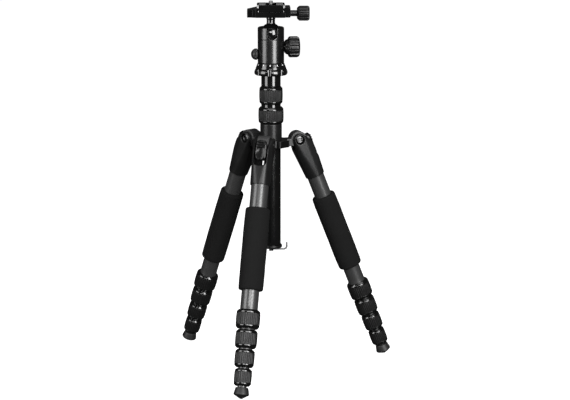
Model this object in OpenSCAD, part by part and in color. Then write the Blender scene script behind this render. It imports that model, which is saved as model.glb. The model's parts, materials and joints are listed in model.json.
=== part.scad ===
// Travel tripod with a two-stage centre column, ball head and quick-release plate.
// Millimetres, +Z up. The origin is on the floor, at the centre of the three feet's outline.
// The front leg points along -Y, the other two along +30 and +150 degrees from +X.

/* [Legs] */
// Lean of each open leg from upright, degrees
leg_tilt = 21.8; // [17:0.1:26.2]
// Distance from the column axis to each leg's pivot
pivot_r = 40; // [39:0.5:56]
// Outward offset of the tube's axis from the pivot
tube_offset = 5; // [3.5:0.5:6]
// Outer diameter of the top leg tube
tube_d = 25; // [22:0.5:32]
// Wall of every leg tube
tube_wall = 1.2; // [0.9:0.05:1.3]
// Distance down the leg from the pivot to the first twist collar
collar_start = 238.7; // [225:1:300]
// Height of the first twist collar
collar_h = 26.6; // [22:0.1:36]
// How much shorter each next collar is
collar_h_step = 0.75; // [0:0.05:1.2]
// Space between two collars
collar_gap = 1.6; // [1:0.1:4]
// How far each collar stands out from its tube
collar_build = 4.5; // [4:0.1:6]
// Distance down the leg from the pivot to the foam grip
foam_start = 94.4; // [70:1:110]
// Length of the foam grip
foam_len = 117; // [90:1:122]
// Thickness of the foam grip
foam_t = 5.5; // [3.5:0.1:6.6]
// Height of the rubber foot
foot_h = 15.8; // [14:0.2:24]
// Wall of the rubber foot at its top edge
foot_wall = 2.5; // [2:0.1:4]
// How much wider the foot grows on each side below its top edge
foot_flare = 2; // [0.5:0.1:3]
// Slope of the foot's cone end, which is more than the leg's tilt, degrees
foot_slope = 30; // [28:0.5:40]

/* [Leg castings] */
// Width of the casting across its cheeks
casting_w = 30; // [29:0.5:36]
// Radius of the cheeks round the pivot
cheek_r = 9.3; // [8:0.1:10]
// Distance from the pivot down to the casting's lower end
casting_len = 61; // [56:0.5:72]
// Depth of the tube's socket in the casting
socket_h = 23; // [16:0.5:23]
// Wall of the casting round the tube
casting_wall = 1.3; // [1:0.1:2.4]
// How much narrower the angle lock is than the lug
lock_inset = 0.4; // [0:0.1:3]
// Length of the angle lock
lock_len = 28.3; // [24:0.1:29]
// Travel of the angle lock
lock_travel = 6; // [3:0.5:7]

/* [Spider] */
// Width of each of the spider's lugs
lug_w = 17; // [14:0.5:20.4]
// Radius of each lug
lug_r = 12; // [11:0.1:12]
// Diameter of the pivot bolts
pivot_bolt_d = 8; // [5:0.5:9]
// How far the pivot bolts' heads stand out past the shank
bolt_head_rim = 2.3; // [1.5:0.1:2.6]
// Height of the spider's arms above the pivot axis
arm_rise = 1.6; // [0.5:0.1:1.6]
// Depth of the spider's arms below the pivot axis
arm_drop = 9.2; // [7:0.1:9.6]
// Distance from the column axis to the flat faces between the arms
hub_flat_r = 27.5; // [24:0.5:28]
// Width of the flat faces between the arms
hub_flat_w = 19.5; // [14:0.5:21]
// Height of the spider's neck above the arms
neck_h = 22.4; // [18:0.2:34]
// Wall of the spider's neck
neck_wall = 1.7; // [1.5:0.1:2.6]

/* [Column] */
// Outer diameter of the lower column tube
column_d = 28; // [23:0.5:34]
// Wall of the column tubes
column_wall = 1.4; // [1:0.05:1.8]
// Length of the lower column tube
column_len = 222; // [200:1:300]
// Length of the column's upper tube
upper_column_len = 210; // [160:1:220]
// Height of the lower column collar
lower_collar_h = 24.5; // [22:0.5:34]
// How far the lower column collar stands out from the tube
lower_collar_build = 4.3; // [4:0.1:6]
// Height of the upper column collar
upper_collar_h = 26.1; // [22:0.5:34]
// How far the upper column collar stands out from the tube
upper_collar_build = 3; // [2.8:0.1:5]
// Height of the neck under the mounting disc
top_neck_h = 15.8; // [13:0.2:24]
// How far the mounting disc stands out past the pan base
disc_rim = 2; // [0.5:0.1:4]
// Thickness of the mounting disc
disc_h = 9.3; // [8:0.1:13]
// Number of notches round the mounting disc
disc_notches = 8; // [6:1:12]
// How far the end cap's flange stands out from the tube
cap_rim = 2; // [1:0.1:3]
// Thickness of the end cap's flange
cap_h = 4.3; // [4:0.1:7]
// Direction of the weight hook, degrees from +X
hook_turn = 14; // [-180:1:180]
// Space between the end cap and the weight hook's tip
hook_throat = 5.3; // [4:0.1:7]
// Diameter of the weight hook's wire
hook_wire_d = 2.8; // [2:0.1:3]

/* [Ball head] */
// Direction of the head's main knob, degrees from +X
head_turn = 20; // [-180:1:180]
// Wall of the head's body round the ball
head_wall = 3.7; // [3.2:0.1:5]
// Height of the head's rim above the ball's centre
rim_rise = 9.5; // [8:0.1:10]
// Height of the cone-shaped pan base
pan_base_h = 8.6; // [8:0.1:12]
// How far the pan base's lower edge stands out past the head's body
pan_base_flare = 3; // [1:0.1:4]
// Diameter of the ball
ball_d = 30; // [25:0.2:36]
// Height of the ball's centre above the bottom of the head's body
ball_z = 41.9; // [41:0.1:46]
// Diameter of the ball's stem
stem_d = 13; // [10:0.5:13]
// Length of the stem above the ball
stem_h = 8.8; // [7:0.1:14]
// Clearance of the stem on each side of the notch it drops into
notch_gap = 1; // [0.6:0.1:1.6]
// Diameter of the main knob
main_knob_d = 30.3; // [26:0.1:33]
// Length of the main knob's grip
main_knob_len = 16; // [12:0.5:20]
// Diameter of the pan knob
pan_knob_d = 16.4; // [13:0.1:18]

/* [Release plate] */
// Direction of the clamp's knob, degrees from +X
clamp_turn = 14; // [-180:1:180]
// Length of the clamp along the plate
clamp_len = 46; // [38:1:54]
// Width of the clamp's fixed jaw, past the dovetail
fixed_jaw_w = 15; // [11:0.5:20]
// Length of the release plate
plate_len = 50; // [40:1:60]
// How far the release plate's top stands out past its dovetail on each side
plate_rim = 1; // [0.7:0.1:1.2]
// Thickness of the release plate above its dovetail
plate_h = 4.7; // [4:0.1:6]
// Width of the dovetail's lower edge
dovetail_w = 38; // [31:0.5:46]
// Diameter of the clamp knob
clamp_knob_d = 21.4; // [17:0.1:23]
// Length of the clamp knob's grip
clamp_knob_len = 18.2; // [14:0.2:24]
// Diameter of the camera screw's thread
camera_screw_d = 6.35; // [6.35]
// Height of the camera screw above the plate
camera_screw_h = 4.4; // [4:0.1:5.5]

/* [Clearances] */
// Radial clearance of a shaft that turns or slides in its bore
run_gap = 0.05; // [0.02:0.01:0.09]
// Radial clearance of a tube that is glued in its socket
bond_gap = 0.05; // [0.02:0.01:0.09]
// Radial clearance between one sliding tube and the next
slide_gap = 0.3; // [0.25:0.01:0.4]
// Clearance between faces that pass each other
face_gap = 0.4; // [0.3:0.05:0.45]

/* [Hidden] */
$fn = 64;
hull_fn = 32;
LEGS = ["front", "right", "left"];
leg_azimuth = [-90, 30, 150];
tube_count = 5;
foam_d = tube_d + 2 * foam_t;
casting_end_d = tube_d + 2 * casting_wall;
lock_w = lug_w - lock_inset;
bolt_head_d = pivot_bolt_d + 2 * bolt_head_rim;
neck_d = column_d + 2 * neck_wall;
cap_d = column_d + 2 * cap_rim;
hook_reach = cap_d / 2 + hook_throat + hook_wire_d;
head_d = ball_d + 2 * (head_wall + slide_gap);
head_h = ball_z + rim_rise;
pan_base_d = head_d + 2 * pan_base_flare;
disc_d = pan_base_d + 2 * disc_rim;
notch_w = stem_d + 2 * notch_gap;
clamp_reach = dovetail_w / 2 + fixed_jaw_w;
plate_w = dovetail_w + 2 * plate_rim;
leg_pieces = ["casting", "angle_lock", "foam_grip", "foot",
    "tube_1", "tube_2", "tube_3", "tube_4", "tube_5",
    "collar_1", "collar_2", "collar_3", "collar_4"];

carbon = "#3a3b3d";
satin = "#2b2c2e";
gloss = "#141416";
ribbed = "#2e2e30";
foam = "#1a1a1b";
rubber = "#222223";
steel = "#b4b5b8";
lug_grey = "#6d6e70";
nylon = "#d8d4c4";

// Leg tubes and collars, counted from the top: k = 0 is the thickest
function tube_r(k) = tube_d / 2 - k * (tube_wall + slide_gap);
function this_collar_h(k) = collar_h - k * collar_h_step;
function collar_top(k) =
    k == 0 ? collar_start : collar_top(k - 1) + this_collar_h(k - 1) + collar_gap;
tube_top_step = 2;
tube_top = casting_len - socket_h;
lip_h = 4;
ferrule_build = 1.5;
foot_gap = 1.9;
foot_socket_h = 7;
foot_tip_r = 1.2;
foot_top = collar_top(3) + this_collar_h(3) + foot_gap;
foot_top_d = 2 * (tube_r(tube_count - 1) + foot_wall);
foot_d = foot_top_d + 2 * foot_flare;
foot_cone_h = (foot_d / 2 - foot_tip_r) * tan(foot_slope);
leg_len = foot_top + foot_h;
function tube_end(k) =
    k == tube_count - 1 ? foot_top + foot_socket_h : collar_top(k) + this_collar_h(k) - lip_h - 1;

// The floor is where the lower edge of each foot's blunt tip rests
pivot_z = leg_len * cos(leg_tilt) + (foot_tip_r - tube_offset) * sin(leg_tilt);
foot_rim_r = pivot_r + tube_offset * cos(leg_tilt) + (leg_len - foot_cone_h) * sin(leg_tilt);
function foot_reach(a) =
    foot_rim_r * sin(a) + foot_d / 2 * sqrt(1 - pow(sin(leg_tilt) * sin(a), 2));
axis_y = (foot_reach(90) - foot_reach(30)) / 2;

// Casting
slot_w = lug_w + 2 * face_gap;
slot_r = lug_r + face_gap;
lock_x = lug_r + 0.5;
lock_top = 2;
recess_bottom = lock_len - lock_top + lock_travel + 2;
bolt_face = 11;
bolt_head_h = 2;

// Column heights above the pivot
neck_top = arm_rise + neck_h;
stack_gap = 0.4;
ferrule_h = 14;
ferrule_wall = 1;
lower_collar_z = neck_top + stack_gap;
column_seat_h = 14.6;
stage_gap = 3.7;
upper_collar_z = lower_collar_z + lower_collar_h + stage_gap;
column_top = upper_collar_z + column_seat_h;
neck_z = upper_collar_z + upper_collar_h + stack_gap;
disc_z = neck_z + top_neck_h;
pan_z = disc_z + disc_h;
column_r = column_d / 2;
upper_column_r = column_r - column_wall - slide_gap;
column_bottom = column_top - column_len;
tube_recess = 1.8;
stud_d = 9.5;
stud_h = 11;

// Ball head, from the bottom of its body
head_base_z = pivot_z + pan_z + pan_base_h;
ball_centre_z = head_base_z + ball_z;
spigot_d = 24;
spigot_h = 15.4;
cup_floor = 18.5;
notch_drop = 0.6;
main_knob_z = 22.1;
main_shaft_d = 8;
pan_knob_z = 12.2;
pan_shaft_d = 5;
knob_neck_len = 6;

// Clamp and plate, from the ball's centre
clamp_z = ball_d / 2 + stem_h;
clamp_floor_z = clamp_z + 7.8;
clamp_screw_z = clamp_z + 4.8;
clamp_right = plate_w / 2 + 0.6;
plate_z = clamp_floor_z + 0.4;
dovetail_h = 2.6;
dovetail_land = 0.8;
plate_neck_h = 1.9;
plate_slab_z = plate_z + dovetail_land + dovetail_h + plate_neck_h;
plate_top_z = plate_slab_z + plate_h;
dovetail_neck = dovetail_w / 2 - dovetail_h;
jaw_gap = 0.2;
jaw_x = max(clamp_right, plate_w / 2) + jaw_gap;
jaw_t = 7;
jaw_top_z = plate_slab_z + 1.3;
jaw_lip_z = plate_slab_z - 0.7;
clamp_rod_d = 4;
clamp_shaft_d = 8.7;
clamp_shaft_len = 9.2;
stem_stub_d = 8;
stem_stub_h = 4.2;
screw_head_d = 14;
screw_shoulder_d = 7.2;
screw_head_h = 3.9;
screw_recess = 1;
screw_slot_w = 1.6;
screw_slot_deep = 1.2;
tip_chamfer = 0.5;
pad_x = 12.5;
pad_w = 9.5;
pad_t = 1;
pad_inset = 3;
disc_turn = 8;
cap_plug_h = 12;
hook_drop = 2.7;
hook_pin_r = 1.2;
ear_h = 5;

module on_column() translate([0, axis_y, 0]) children();

module on_pivot_level() translate([0, axis_y, pivot_z]) children();

// A leg's own frame: origin at its pivot, -Z down the leg, +X outwards, Y along the pivot
module on_leg(i)
    on_pivot_level() rotate(leg_azimuth[i]) translate([pivot_r, 0, 0])
        rotate([0, -leg_tilt, 0]) children();

// The axis of a leg's tubes, with +Z now down the leg
module on_tube(i) on_leg(i) translate([tube_offset, 0, 0]) mirror([0, 0, 1]) children();

module on_head() translate([0, axis_y, head_base_z]) rotate(head_turn) children();

module on_clamp() translate([0, axis_y, ball_centre_z]) rotate(clamp_turn) children();

module across(r, w) rotate([90, 0, 0]) cylinder(r = r, h = w, center = true);

module along_x(r, from, to) translate([from, 0, 0]) rotate([0, 90, 0]) cylinder(r = r, h = to - from);

module pipe(r_out, r_in, from, to)
    translate([0, 0, from]) difference() {
        cylinder(r = r_out, h = to - from);
        translate([0, 0, -1]) cylinder(r = r_in, h = to - from + 2);
    }

// Casting that carries the top tube, with a slot for the lug and a recess for the lock
module leg_casting(i) {
    color(satin) on_leg(i) difference() {
        hull() {
            across(cheek_r, casting_w - 3, $fn = hull_fn);
            across(cheek_r - 1.5, casting_w, $fn = hull_fn);
            translate([lock_x + 0.6, 0, -11]) across(5.6, casting_w - 7, $fn = hull_fn);
            translate([lock_x + 1.6, 0, -lock_len + 5]) across(5.6, lock_w + 1, $fn = hull_fn);
            translate([-lug_r + 4.6, 0, -15]) across(5, casting_w - 8, $fn = hull_fn);
            translate([tube_offset, 0, -casting_len + 1.2])
                cylinder(d = casting_end_d, h = casting_len - tube_top - 1, $fn = hull_fn);
            translate([tube_offset, 0, -casting_len])
                cylinder(d = casting_end_d - 1.6, h = 1, $fn = hull_fn);
        }
        across(slot_r, slot_w);
        translate([-2 * lug_r, -slot_w / 2, -slot_r])
            cube([2 * lug_r + slot_r, slot_w, 4 * lug_r]);
        lock_recess();
        across(pivot_bolt_d / 2 + run_gap, casting_w + 2);
        for (side = [-1, 1])
            translate([0, side * (bolt_face + casting_w / 2), 0])
                across(bolt_head_d / 2 + face_gap, casting_w);
        translate([tube_offset, 0, -casting_len - 1])
            cylinder(r = tube_r(0) + bond_gap, h = socket_h + 1);
    }
}

module lock_recess() {
    w = lock_w + 2 * face_gap;
    translate([lug_r, -w / 2, w / 2 - recess_bottom]) cube([20, w, recess_bottom + 2 * lug_r]);
    translate([0, 0, w / 2 - recess_bottom]) along_x(w / 2, lug_r, lug_r + 20);
}

// Sliding lock on the outside of the casting, ribbed at its upper end
module leg_angle_lock(i) {
    rib_r = 0.7;
    bottom = lock_top - lock_len;
    color(gloss) on_leg(i) intersection() {
        union() {
            rotate([90, 0, 0]) linear_extrude(lock_w, center = true)
                polygon([[lock_x, lock_top], [lock_x + 2, lock_top], [lock_x + 4.4, -8],
                    [lock_x + 7.4, -20], [lock_x + 7.8, bottom + 2], [lock_x + 6.2, bottom],
                    [lock_x, bottom]]);
            for (n = [0:2])
                translate([lock_x + 2 + 0.85 * n, 0, -0.5 - 3.4 * n]) across(rib_r, lock_w);
        }
        union() {
            translate([lug_r, -lock_w / 2, bottom + lock_w / 2]) cube([20, lock_w, lock_len]);
            translate([0, 0, bottom + lock_w / 2]) along_x(lock_w / 2, lug_r, lug_r + 20);
        }
    }
}

module leg_foam_grip(i) {
    r = foam_d / 2;
    r_in = tube_r(0) + bond_gap;
    color(foam) on_tube(i) translate([0, 0, foam_start]) rotate_extrude()
        polygon([[r_in, 0], [r - 2.4, 0], [r - 0.9, 1.2], [r - 0.3, 4], [r, foam_len - 4],
            [r - 0.7, foam_len - 1.2], [r - 2.2, foam_len], [r_in, foam_len]]);
}

// Leg tube with the threaded ferrule that its collar turns on
module leg_tube(i, k) {
    r = tube_r(k);
    color(carbon) on_tube(i) {
        pipe(r, r - tube_wall, tube_top + k * tube_top_step, tube_end(k));
        if (k < tube_count - 1)
            pipe(r + ferrule_build, r - tube_wall, collar_top(k) + lip_h + 1, tube_end(k));
    }
}

module leg_collar(i, k) {
    h = this_collar_h(k);
    r = tube_r(k);
    r_out = r + collar_build;
    r_cavity = r + ferrule_build + slide_gap;
    r_low = tube_r(k + 1) + slide_gap;
    color(ribbed) on_tube(i) translate([0, 0, collar_top(k)]) rotate_extrude()
        polygon([[r + slide_gap, 0], [r_out - 2.9, 0], [r_out - 0.6, 3], [r_out, 4], [r_out, h - 4],
            [r_out - 0.6, h - 3], [r_out - 2.9, h], [r_low, h], [r_low, h - lip_h],
            [r_cavity, h - lip_h], [r_cavity, lip_h], [r + slide_gap, lip_h]]);
}

module leg_foot(i) {
    r = foot_d / 2;
    r_in = tube_r(tube_count - 1) + bond_gap;
    color(rubber) on_tube(i) translate([0, 0, foot_top]) rotate_extrude()
        polygon([[r_in, 0], [foot_top_d / 2, 0], [r, foot_h - foot_cone_h],
            [foot_tip_r, foot_h], [0, foot_h], [0, foot_socket_h + 1], [r_in, foot_socket_h + 1]]);
}

// Hub that slides on the column and carries the three legs
module spider() {
    arm_h = arm_rise + arm_drop;
    hub_r = hub_flat_r - 4.5;
    color(lug_grey) on_pivot_level() difference() {
        union() {
            translate([0, 0, -arm_drop]) cylinder(r = hub_r, h = arm_h);
            cylinder(d = neck_d, h = neck_top);
            cylinder(r = column_r + ferrule_wall, h = neck_top + ferrule_h);
            for (a = leg_azimuth) {
                rotate(a) translate([0, -lug_w / 2, -arm_drop]) cube([pivot_r, lug_w, arm_h]);
                rotate(a) translate([pivot_r, 0, 0]) across(lug_r, lug_w);
                rotate(a + 60) translate([0, -hub_flat_w / 2, -arm_drop + 0.4])
                    cube([hub_flat_r, hub_flat_w, arm_h - 0.8]);
            }
        }
        translate([0, 0, -arm_drop - 1])
            cylinder(r = column_r + run_gap, h = arm_drop + neck_top + ferrule_h + 2);
        for (a = leg_azimuth)
            rotate(a) translate([pivot_r, 0, 0])
                across(pivot_bolt_d / 2 + bond_gap, lug_w + 2);
    }
}

// Three bolts with a hexagon socket in each end
module pivot_bolts() {
    head_from = bolt_face + 0.1;
    color(steel) on_pivot_level() for (a = leg_azimuth)
        rotate(a) translate([pivot_r, 0, 0]) difference() {
            union() {
                across(pivot_bolt_d / 2, 2 * head_from + 1);
                for (side = [-1, 1])
                    translate([0, side * (head_from + bolt_head_h / 2), 0])
                        across(bolt_head_d / 2, bolt_head_h);
            }
            for (side = [-1, 1])
                translate([0, side * (head_from + bolt_head_h), 0]) across(2.6, 3, $fn = 6);
        }
}

module column_collar(r_out, h, r_low, r_top, low_h) {
    rotate_extrude()
        polygon([[r_low, 0], [r_out - 2.6, 0], [r_out - 0.5, 2.6], [r_out, 3.6], [r_out, h - 3.6],
            [r_out - 0.5, h - 2.6], [r_out - 2.6, h], [r_top, h], [r_top, low_h], [r_low, low_h]]);
}

module lower_column_collar() {
    color(ribbed) on_pivot_level() translate([0, 0, lower_collar_z])
        column_collar(column_r + lower_collar_build, lower_collar_h, column_r + ferrule_wall + slide_gap,
            column_r + slide_gap, ferrule_h + 1);
}

module lower_column_tube() {
    color(gloss) on_pivot_level()
        pipe(column_r, column_r - column_wall, column_bottom, column_top);
}

module upper_column_collar() {
    color(ribbed) on_pivot_level() translate([0, 0, upper_collar_z])
        column_collar(column_r + upper_collar_build, upper_collar_h, column_r + slide_gap,
            upper_column_r + slide_gap, column_top - upper_collar_z + 1);
}

module upper_column_tube() {
    top = disc_z + tube_recess;
    color(carbon) on_pivot_level()
        pipe(upper_column_r, upper_column_r - column_wall, top - upper_column_len, top);
}

// Disc that the head stands on, notched for the fingers, with the head's stud
module mounting_disc() {
    r = disc_d / 2;
    color(gloss) on_pivot_level() rotate(disc_turn) difference() {
        union() {
            translate([0, 0, neck_z]) cylinder(r = column_r, h = top_neck_h + 1);
            translate([0, 0, disc_z]) rotate_extrude()
                polygon([[0, 0], [r - 1.6, 0], [r, 1.8], [r, disc_h - 4.5], [r - 1.8, disc_h],
                    [0, disc_h]]);
            translate([0, 0, disc_z]) cylinder(d = stud_d, h = disc_h + stud_h);
        }
        translate([0, 0, neck_z - 1])
            cylinder(r = upper_column_r + bond_gap, h = top_neck_h + tube_recess + 1.2);
        for (n = [0:disc_notches - 1])
            rotate(n * 360 / disc_notches) translate([r + 1.4, 0, disc_z - 1])
                cylinder(r = 3.4, h = disc_h + 2);
    }
}

// Cap that closes the column's lower end, with two ears for the hook's pin
module end_cap() {
    plug_r = column_r - column_wall - bond_gap;
    color(rubber) on_pivot_level() translate([0, 0, column_bottom]) difference() {
        union() {
            translate([0, 0, -cap_h]) rotate_extrude()
                polygon([[0, 0], [cap_d / 2 - 1, 0], [cap_d / 2, 1], [cap_d / 2, cap_h - 0.6],
                    [cap_d / 2 - 0.6, cap_h], [0, cap_h]]);
            cylinder(r = plug_r, h = cap_plug_h);
            rotate(hook_turn) for (side = [-1, 1])
                translate([-3.2, side * 3.4 - 1, -cap_h - ear_h]) cube([6.4, 2, ear_h + 1]);
        }
        rotate(hook_turn) translate([0, 0, -cap_h - hook_drop]) across(hook_pin_r + run_gap, cap_d);
    }
}

module weight_hook() {
    r = hook_wire_d / 2;
    bend = 3;
    tip_x = hook_reach - r;
    color(steel) on_pivot_level() rotate(hook_turn)
        translate([0, 0, column_bottom - cap_h - hook_drop]) {
            across(hook_pin_r, 8.6);
            across(2.1, 4);
            along_x(r, 0, tip_x - bend);
            translate([tip_x - bend, 0, bend]) rotate([90, 0, 0]) wire_bend(bend, r);
            translate([tip_x, 0, bend]) cylinder(r = r, h = 6);
            translate([tip_x, 0, bend + 6]) sphere(r = r);
        }
}

// Quarter bend of round wire, from pointing along +X to pointing up
module wire_bend(bend, r)
    rotate(-90) rotate_extrude(angle = 90) translate([bend, 0]) circle(r = r, $fn = hull_fn);

module pan_base() {
    color(gloss) on_column() translate([0, 0, pivot_z + pan_z]) difference() {
        union() {
            rotate_extrude()
                polygon([[0, 0], [pan_base_d / 2, 0], [pan_base_d / 2, 1], [head_d / 2, pan_base_h],
                    [head_d / 2 - 1, pan_base_h], [head_d / 2 - 1, pan_base_h - 0.2],
                    [0, pan_base_h - 0.2]]);
            cylinder(d = spigot_d - 2 * run_gap, h = pan_base_h + spigot_h);
        }
        translate([0, 0, -1]) cylinder(d = stud_d + 2 * bond_gap, h = stud_h + 2);
    }
}

// Body of the head. The notch faces -Y of the head's own frame and the main knob +X.
module head_body() {
    r = head_d / 2;
    seat_r = ball_d / 2 + slide_gap;
    notch_r = notch_w / 2;
    color(gloss) on_head() difference() {
        translate([0, 0, 0.1]) rotate_extrude()
            polygon([[0, 0], [r, 0], [r, head_h - 1.6], [r - 0.5, head_h - 0.6],
                [r - 1.5, head_h - 0.1], [0, head_h - 0.1]]);
        translate([0, 0, -1]) cylinder(d = spigot_d, h = spigot_h + 2);
        translate([0, 0, cup_floor]) cylinder(r = seat_r, h = ball_z - cup_floor);
        translate([0, 0, ball_z]) sphere(r = seat_r);
        translate([0, -r, ball_z - notch_drop]) across(notch_r, 2 * r);
        translate([-notch_r, -2 * r, ball_z - notch_drop]) cube([notch_w, 2 * r, head_h]);
        translate([0, 0, main_knob_z]) along_x(main_shaft_d / 2 + run_gap, seat_r - 1, r + 5);
        translate([0, 0, pan_knob_z])
            along_x(pan_shaft_d / 2 + run_gap, -r - 5, -spigot_d / 2 + 1);
    }
}

// Cup inside the head that presses on the ball
module ball_cup() {
    cup_z = cup_floor + 0.5;
    notch_bottom = ball_z - notch_drop - notch_w / 2;
    color(nylon) on_head() difference() {
        translate([0, 0, cup_z])
            cylinder(r = ball_d / 2 + 0.1, h = notch_bottom - face_gap - cup_z);
        translate([0, 0, ball_z]) sphere(r = ball_d / 2 + 0.25);
    }
}

// Shape turned about +X, from its outline's heights up
module turned_x(from, outline) translate([from, 0, 0]) rotate([0, 90, 0]) rotate_extrude() polygon(outline);

// Cuts straight grooves along +X round a knob of radius r
module grooved(r, from, to, grooves, groove_r)
    difference() {
        children();
        for (n = [0:grooves - 1])
            rotate([(n + 0.2) * 360 / grooves, 0, 0]) translate([0, 0, r + 0.4 * groove_r])
                along_x(groove_r, from, to);
    }

module main_knob() {
    r = head_d / 2;
    grip_r = main_knob_d / 2;
    grip_x = r + knob_neck_len;
    neck = knob_neck_len - face_gap;
    end = neck + main_knob_len;
    color(rubber) on_head() translate([0, 0, main_knob_z]) {
        along_x(main_shaft_d / 2, ball_d / 2 + slide_gap + 0.4, r + 1);
        grooved(grip_r, grip_x + 2.4, grip_x + main_knob_len - 2.6, 14, 1)
            turned_x(r + face_gap, [[0, 0], [8, 0], [10.5, 2], [11.5, neck], [grip_r - 2, neck],
                [grip_r, neck + 2], [grip_r, end - 2.2], [grip_r - 2.2, end], [0, end]]);
    }
}

module pan_knob() {
    r = head_d / 2;
    dome = pan_knob_d / 2;
    color(rubber) on_head() translate([0, 0, pan_knob_z]) rotate(180) {
        along_x(pan_shaft_d / 2, spigot_d / 2 + 0.4, r + 1);
        turned_x(r + 0.4, [[0, 0], [dome - 0.8, 0], [dome, 0.8], [dome, 4], [dome - 1, 6],
            [dome - 3, 8], [dome - 5.6, 9], [0, 9.2]]);
    }
}

module ball() {
    color(gloss) on_clamp() {
        sphere(d = ball_d);
        cylinder(d = stem_d, h = clamp_z - 0.1);
        cylinder(d = stem_stub_d, h = clamp_z + stem_stub_h - 0.1);
    }
}

// Clamp with the fixed jaw at -X. The plate slides in along Y.
module plate_clamp() {
    jaw_face = dovetail_w / 2 + jaw_gap;
    jaw_neck = dovetail_neck + jaw_gap;
    color(gloss) on_clamp() difference() {
        rotate([90, 0, 0]) linear_extrude(clamp_len, center = true)
            polygon([[-clamp_reach, clamp_z], [clamp_right, clamp_z],
                [clamp_right, clamp_floor_z], [-jaw_face, clamp_floor_z],
                [-jaw_face, plate_z + dovetail_land],
                [-jaw_neck, plate_z + dovetail_land + dovetail_h], [-jaw_neck, jaw_lip_z],
                [-jaw_face - 1.5, jaw_lip_z], [-clamp_reach + 6, jaw_lip_z - 1.4],
                [-clamp_reach, jaw_lip_z - 2.6]]);
        translate([0, 0, clamp_z - 1]) cylinder(d = stem_stub_d + 2 * run_gap, h = stem_stub_h + 1.1);
        translate([0, 0, clamp_screw_z])
            along_x(clamp_rod_d / 2 + run_gap, 6, clamp_right + 5);
        for (side = [-1, 1]) translate([-clamp_reach - 4, side * clamp_len / 2, clamp_z - 1])
            rotate(45) cube([9, 9, 40], center = true);
    }
}

module clamp_jaw() {
    jaw_face = dovetail_w / 2 + jaw_gap;
    jaw_neck = dovetail_neck + jaw_gap;
    color(gloss) on_clamp() difference() {
        rotate([90, 0, 0]) linear_extrude(clamp_len - 4, center = true)
            polygon([[jaw_x, clamp_z + 0.2], [jaw_x + jaw_t - 1, clamp_z + 0.2],
                [jaw_x + jaw_t, clamp_z + 1.2], [jaw_x + jaw_t, jaw_top_z - 1],
                [jaw_x + jaw_t - 1, jaw_top_z], [jaw_x, jaw_top_z], [jaw_x, jaw_lip_z],
                [jaw_neck, jaw_lip_z], [jaw_neck, plate_z + dovetail_land + dovetail_h],
                [jaw_face, plate_z + dovetail_land], [jaw_face, clamp_floor_z + 0.2],
                [jaw_x, clamp_floor_z + 0.2]]);
        translate([0, 0, clamp_screw_z])
            along_x(clamp_rod_d / 2 + run_gap, jaw_x - 1, jaw_x + jaw_t + 1);
    }
}

module clamp_knob() {
    shaft_x = jaw_x + jaw_t + 0.2;
    grip_r = clamp_knob_d / 2;
    grip_x = shaft_x + clamp_shaft_len;
    len = clamp_knob_len;
    color(rubber) on_clamp() translate([0, 0, clamp_screw_z]) {
        along_x(clamp_rod_d / 2, 7, shaft_x + 1);
        along_x(clamp_shaft_d / 2, shaft_x, grip_x + 1);
        grooved(grip_r, grip_x + 2.4, grip_x + len - 2.6, 16, 0.8)
            turned_x(grip_x, [[0, 0], [grip_r - 2, 0], [grip_r, 2], [grip_r, len - 2.2], [grip_r - 2.2, len],
                [0, len]]);
    }
}

module release_plate() {
    half = plate_w / 2;
    foot = dovetail_w / 2;
    color(gloss) on_clamp() difference() {
        rotate([90, 0, 0]) linear_extrude(plate_len, center = true)
            polygon([[-foot, plate_z], [foot, plate_z], [foot, plate_z + dovetail_land],
                [dovetail_neck, plate_z + dovetail_land + dovetail_h],
                [dovetail_neck, plate_slab_z], [half, plate_slab_z],
                [half, plate_top_z - 0.8], [half - 0.8, plate_top_z], [0.8 - half, plate_top_z],
                [-half, plate_top_z - 0.8], [-half, plate_slab_z],
                [-dovetail_neck, plate_slab_z],
                [-dovetail_neck, plate_z + dovetail_land + dovetail_h],
                [-foot, plate_z + dovetail_land]]);
        translate([0, 0, plate_z - 1]) cylinder(d = screw_head_d + 2 * face_gap, h = screw_head_h + screw_recess + 1.1);
        translate([0, 0, plate_z - 1]) cylinder(d = screw_shoulder_d + 2 * run_gap, h = 30);
        for (side = [-1, 1]) translate([side * pad_x, 0, plate_top_z - pad_t / 2]) pad_strip();
    }
}

// A rubber strip, which is also the shape of the groove it lies in
module pad_strip()
    translate([-pad_w / 2, pad_inset - plate_len / 2, 0])
        cube([pad_w, plate_len - 2 * pad_inset, pad_t]);

module plate_pads() {
    color(rubber) on_clamp() for (side = [-1, 1])
        translate([side * pad_x, 0, plate_top_z - pad_t / 2]) pad_strip();
}

module camera_screw() {
    r = camera_screw_d / 2;
    head_z = plate_z + screw_recess;
    color(steel) on_clamp() difference() {
        union() {
            translate([0, 0, head_z]) cylinder(d = screw_head_d, h = screw_head_h);
            translate([0, 0, head_z]) cylinder(d = screw_shoulder_d, h = plate_top_z - head_z);
            chamfered_stud(r, plate_top_z, plate_top_z + camera_screw_h);
        }
        translate([0, 0, head_z])
            cube([screw_head_d + 2, screw_slot_w, 2 * screw_slot_deep], center = true);
    }
}

// Threaded end of the camera screw, with a small chamfer at its tip
module chamfered_stud(r, from, to)
    rotate_extrude()
        polygon([[0, from], [r, from], [r, to - tip_chamfer], [r - tip_chamfer, to], [0, to]]);

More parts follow.
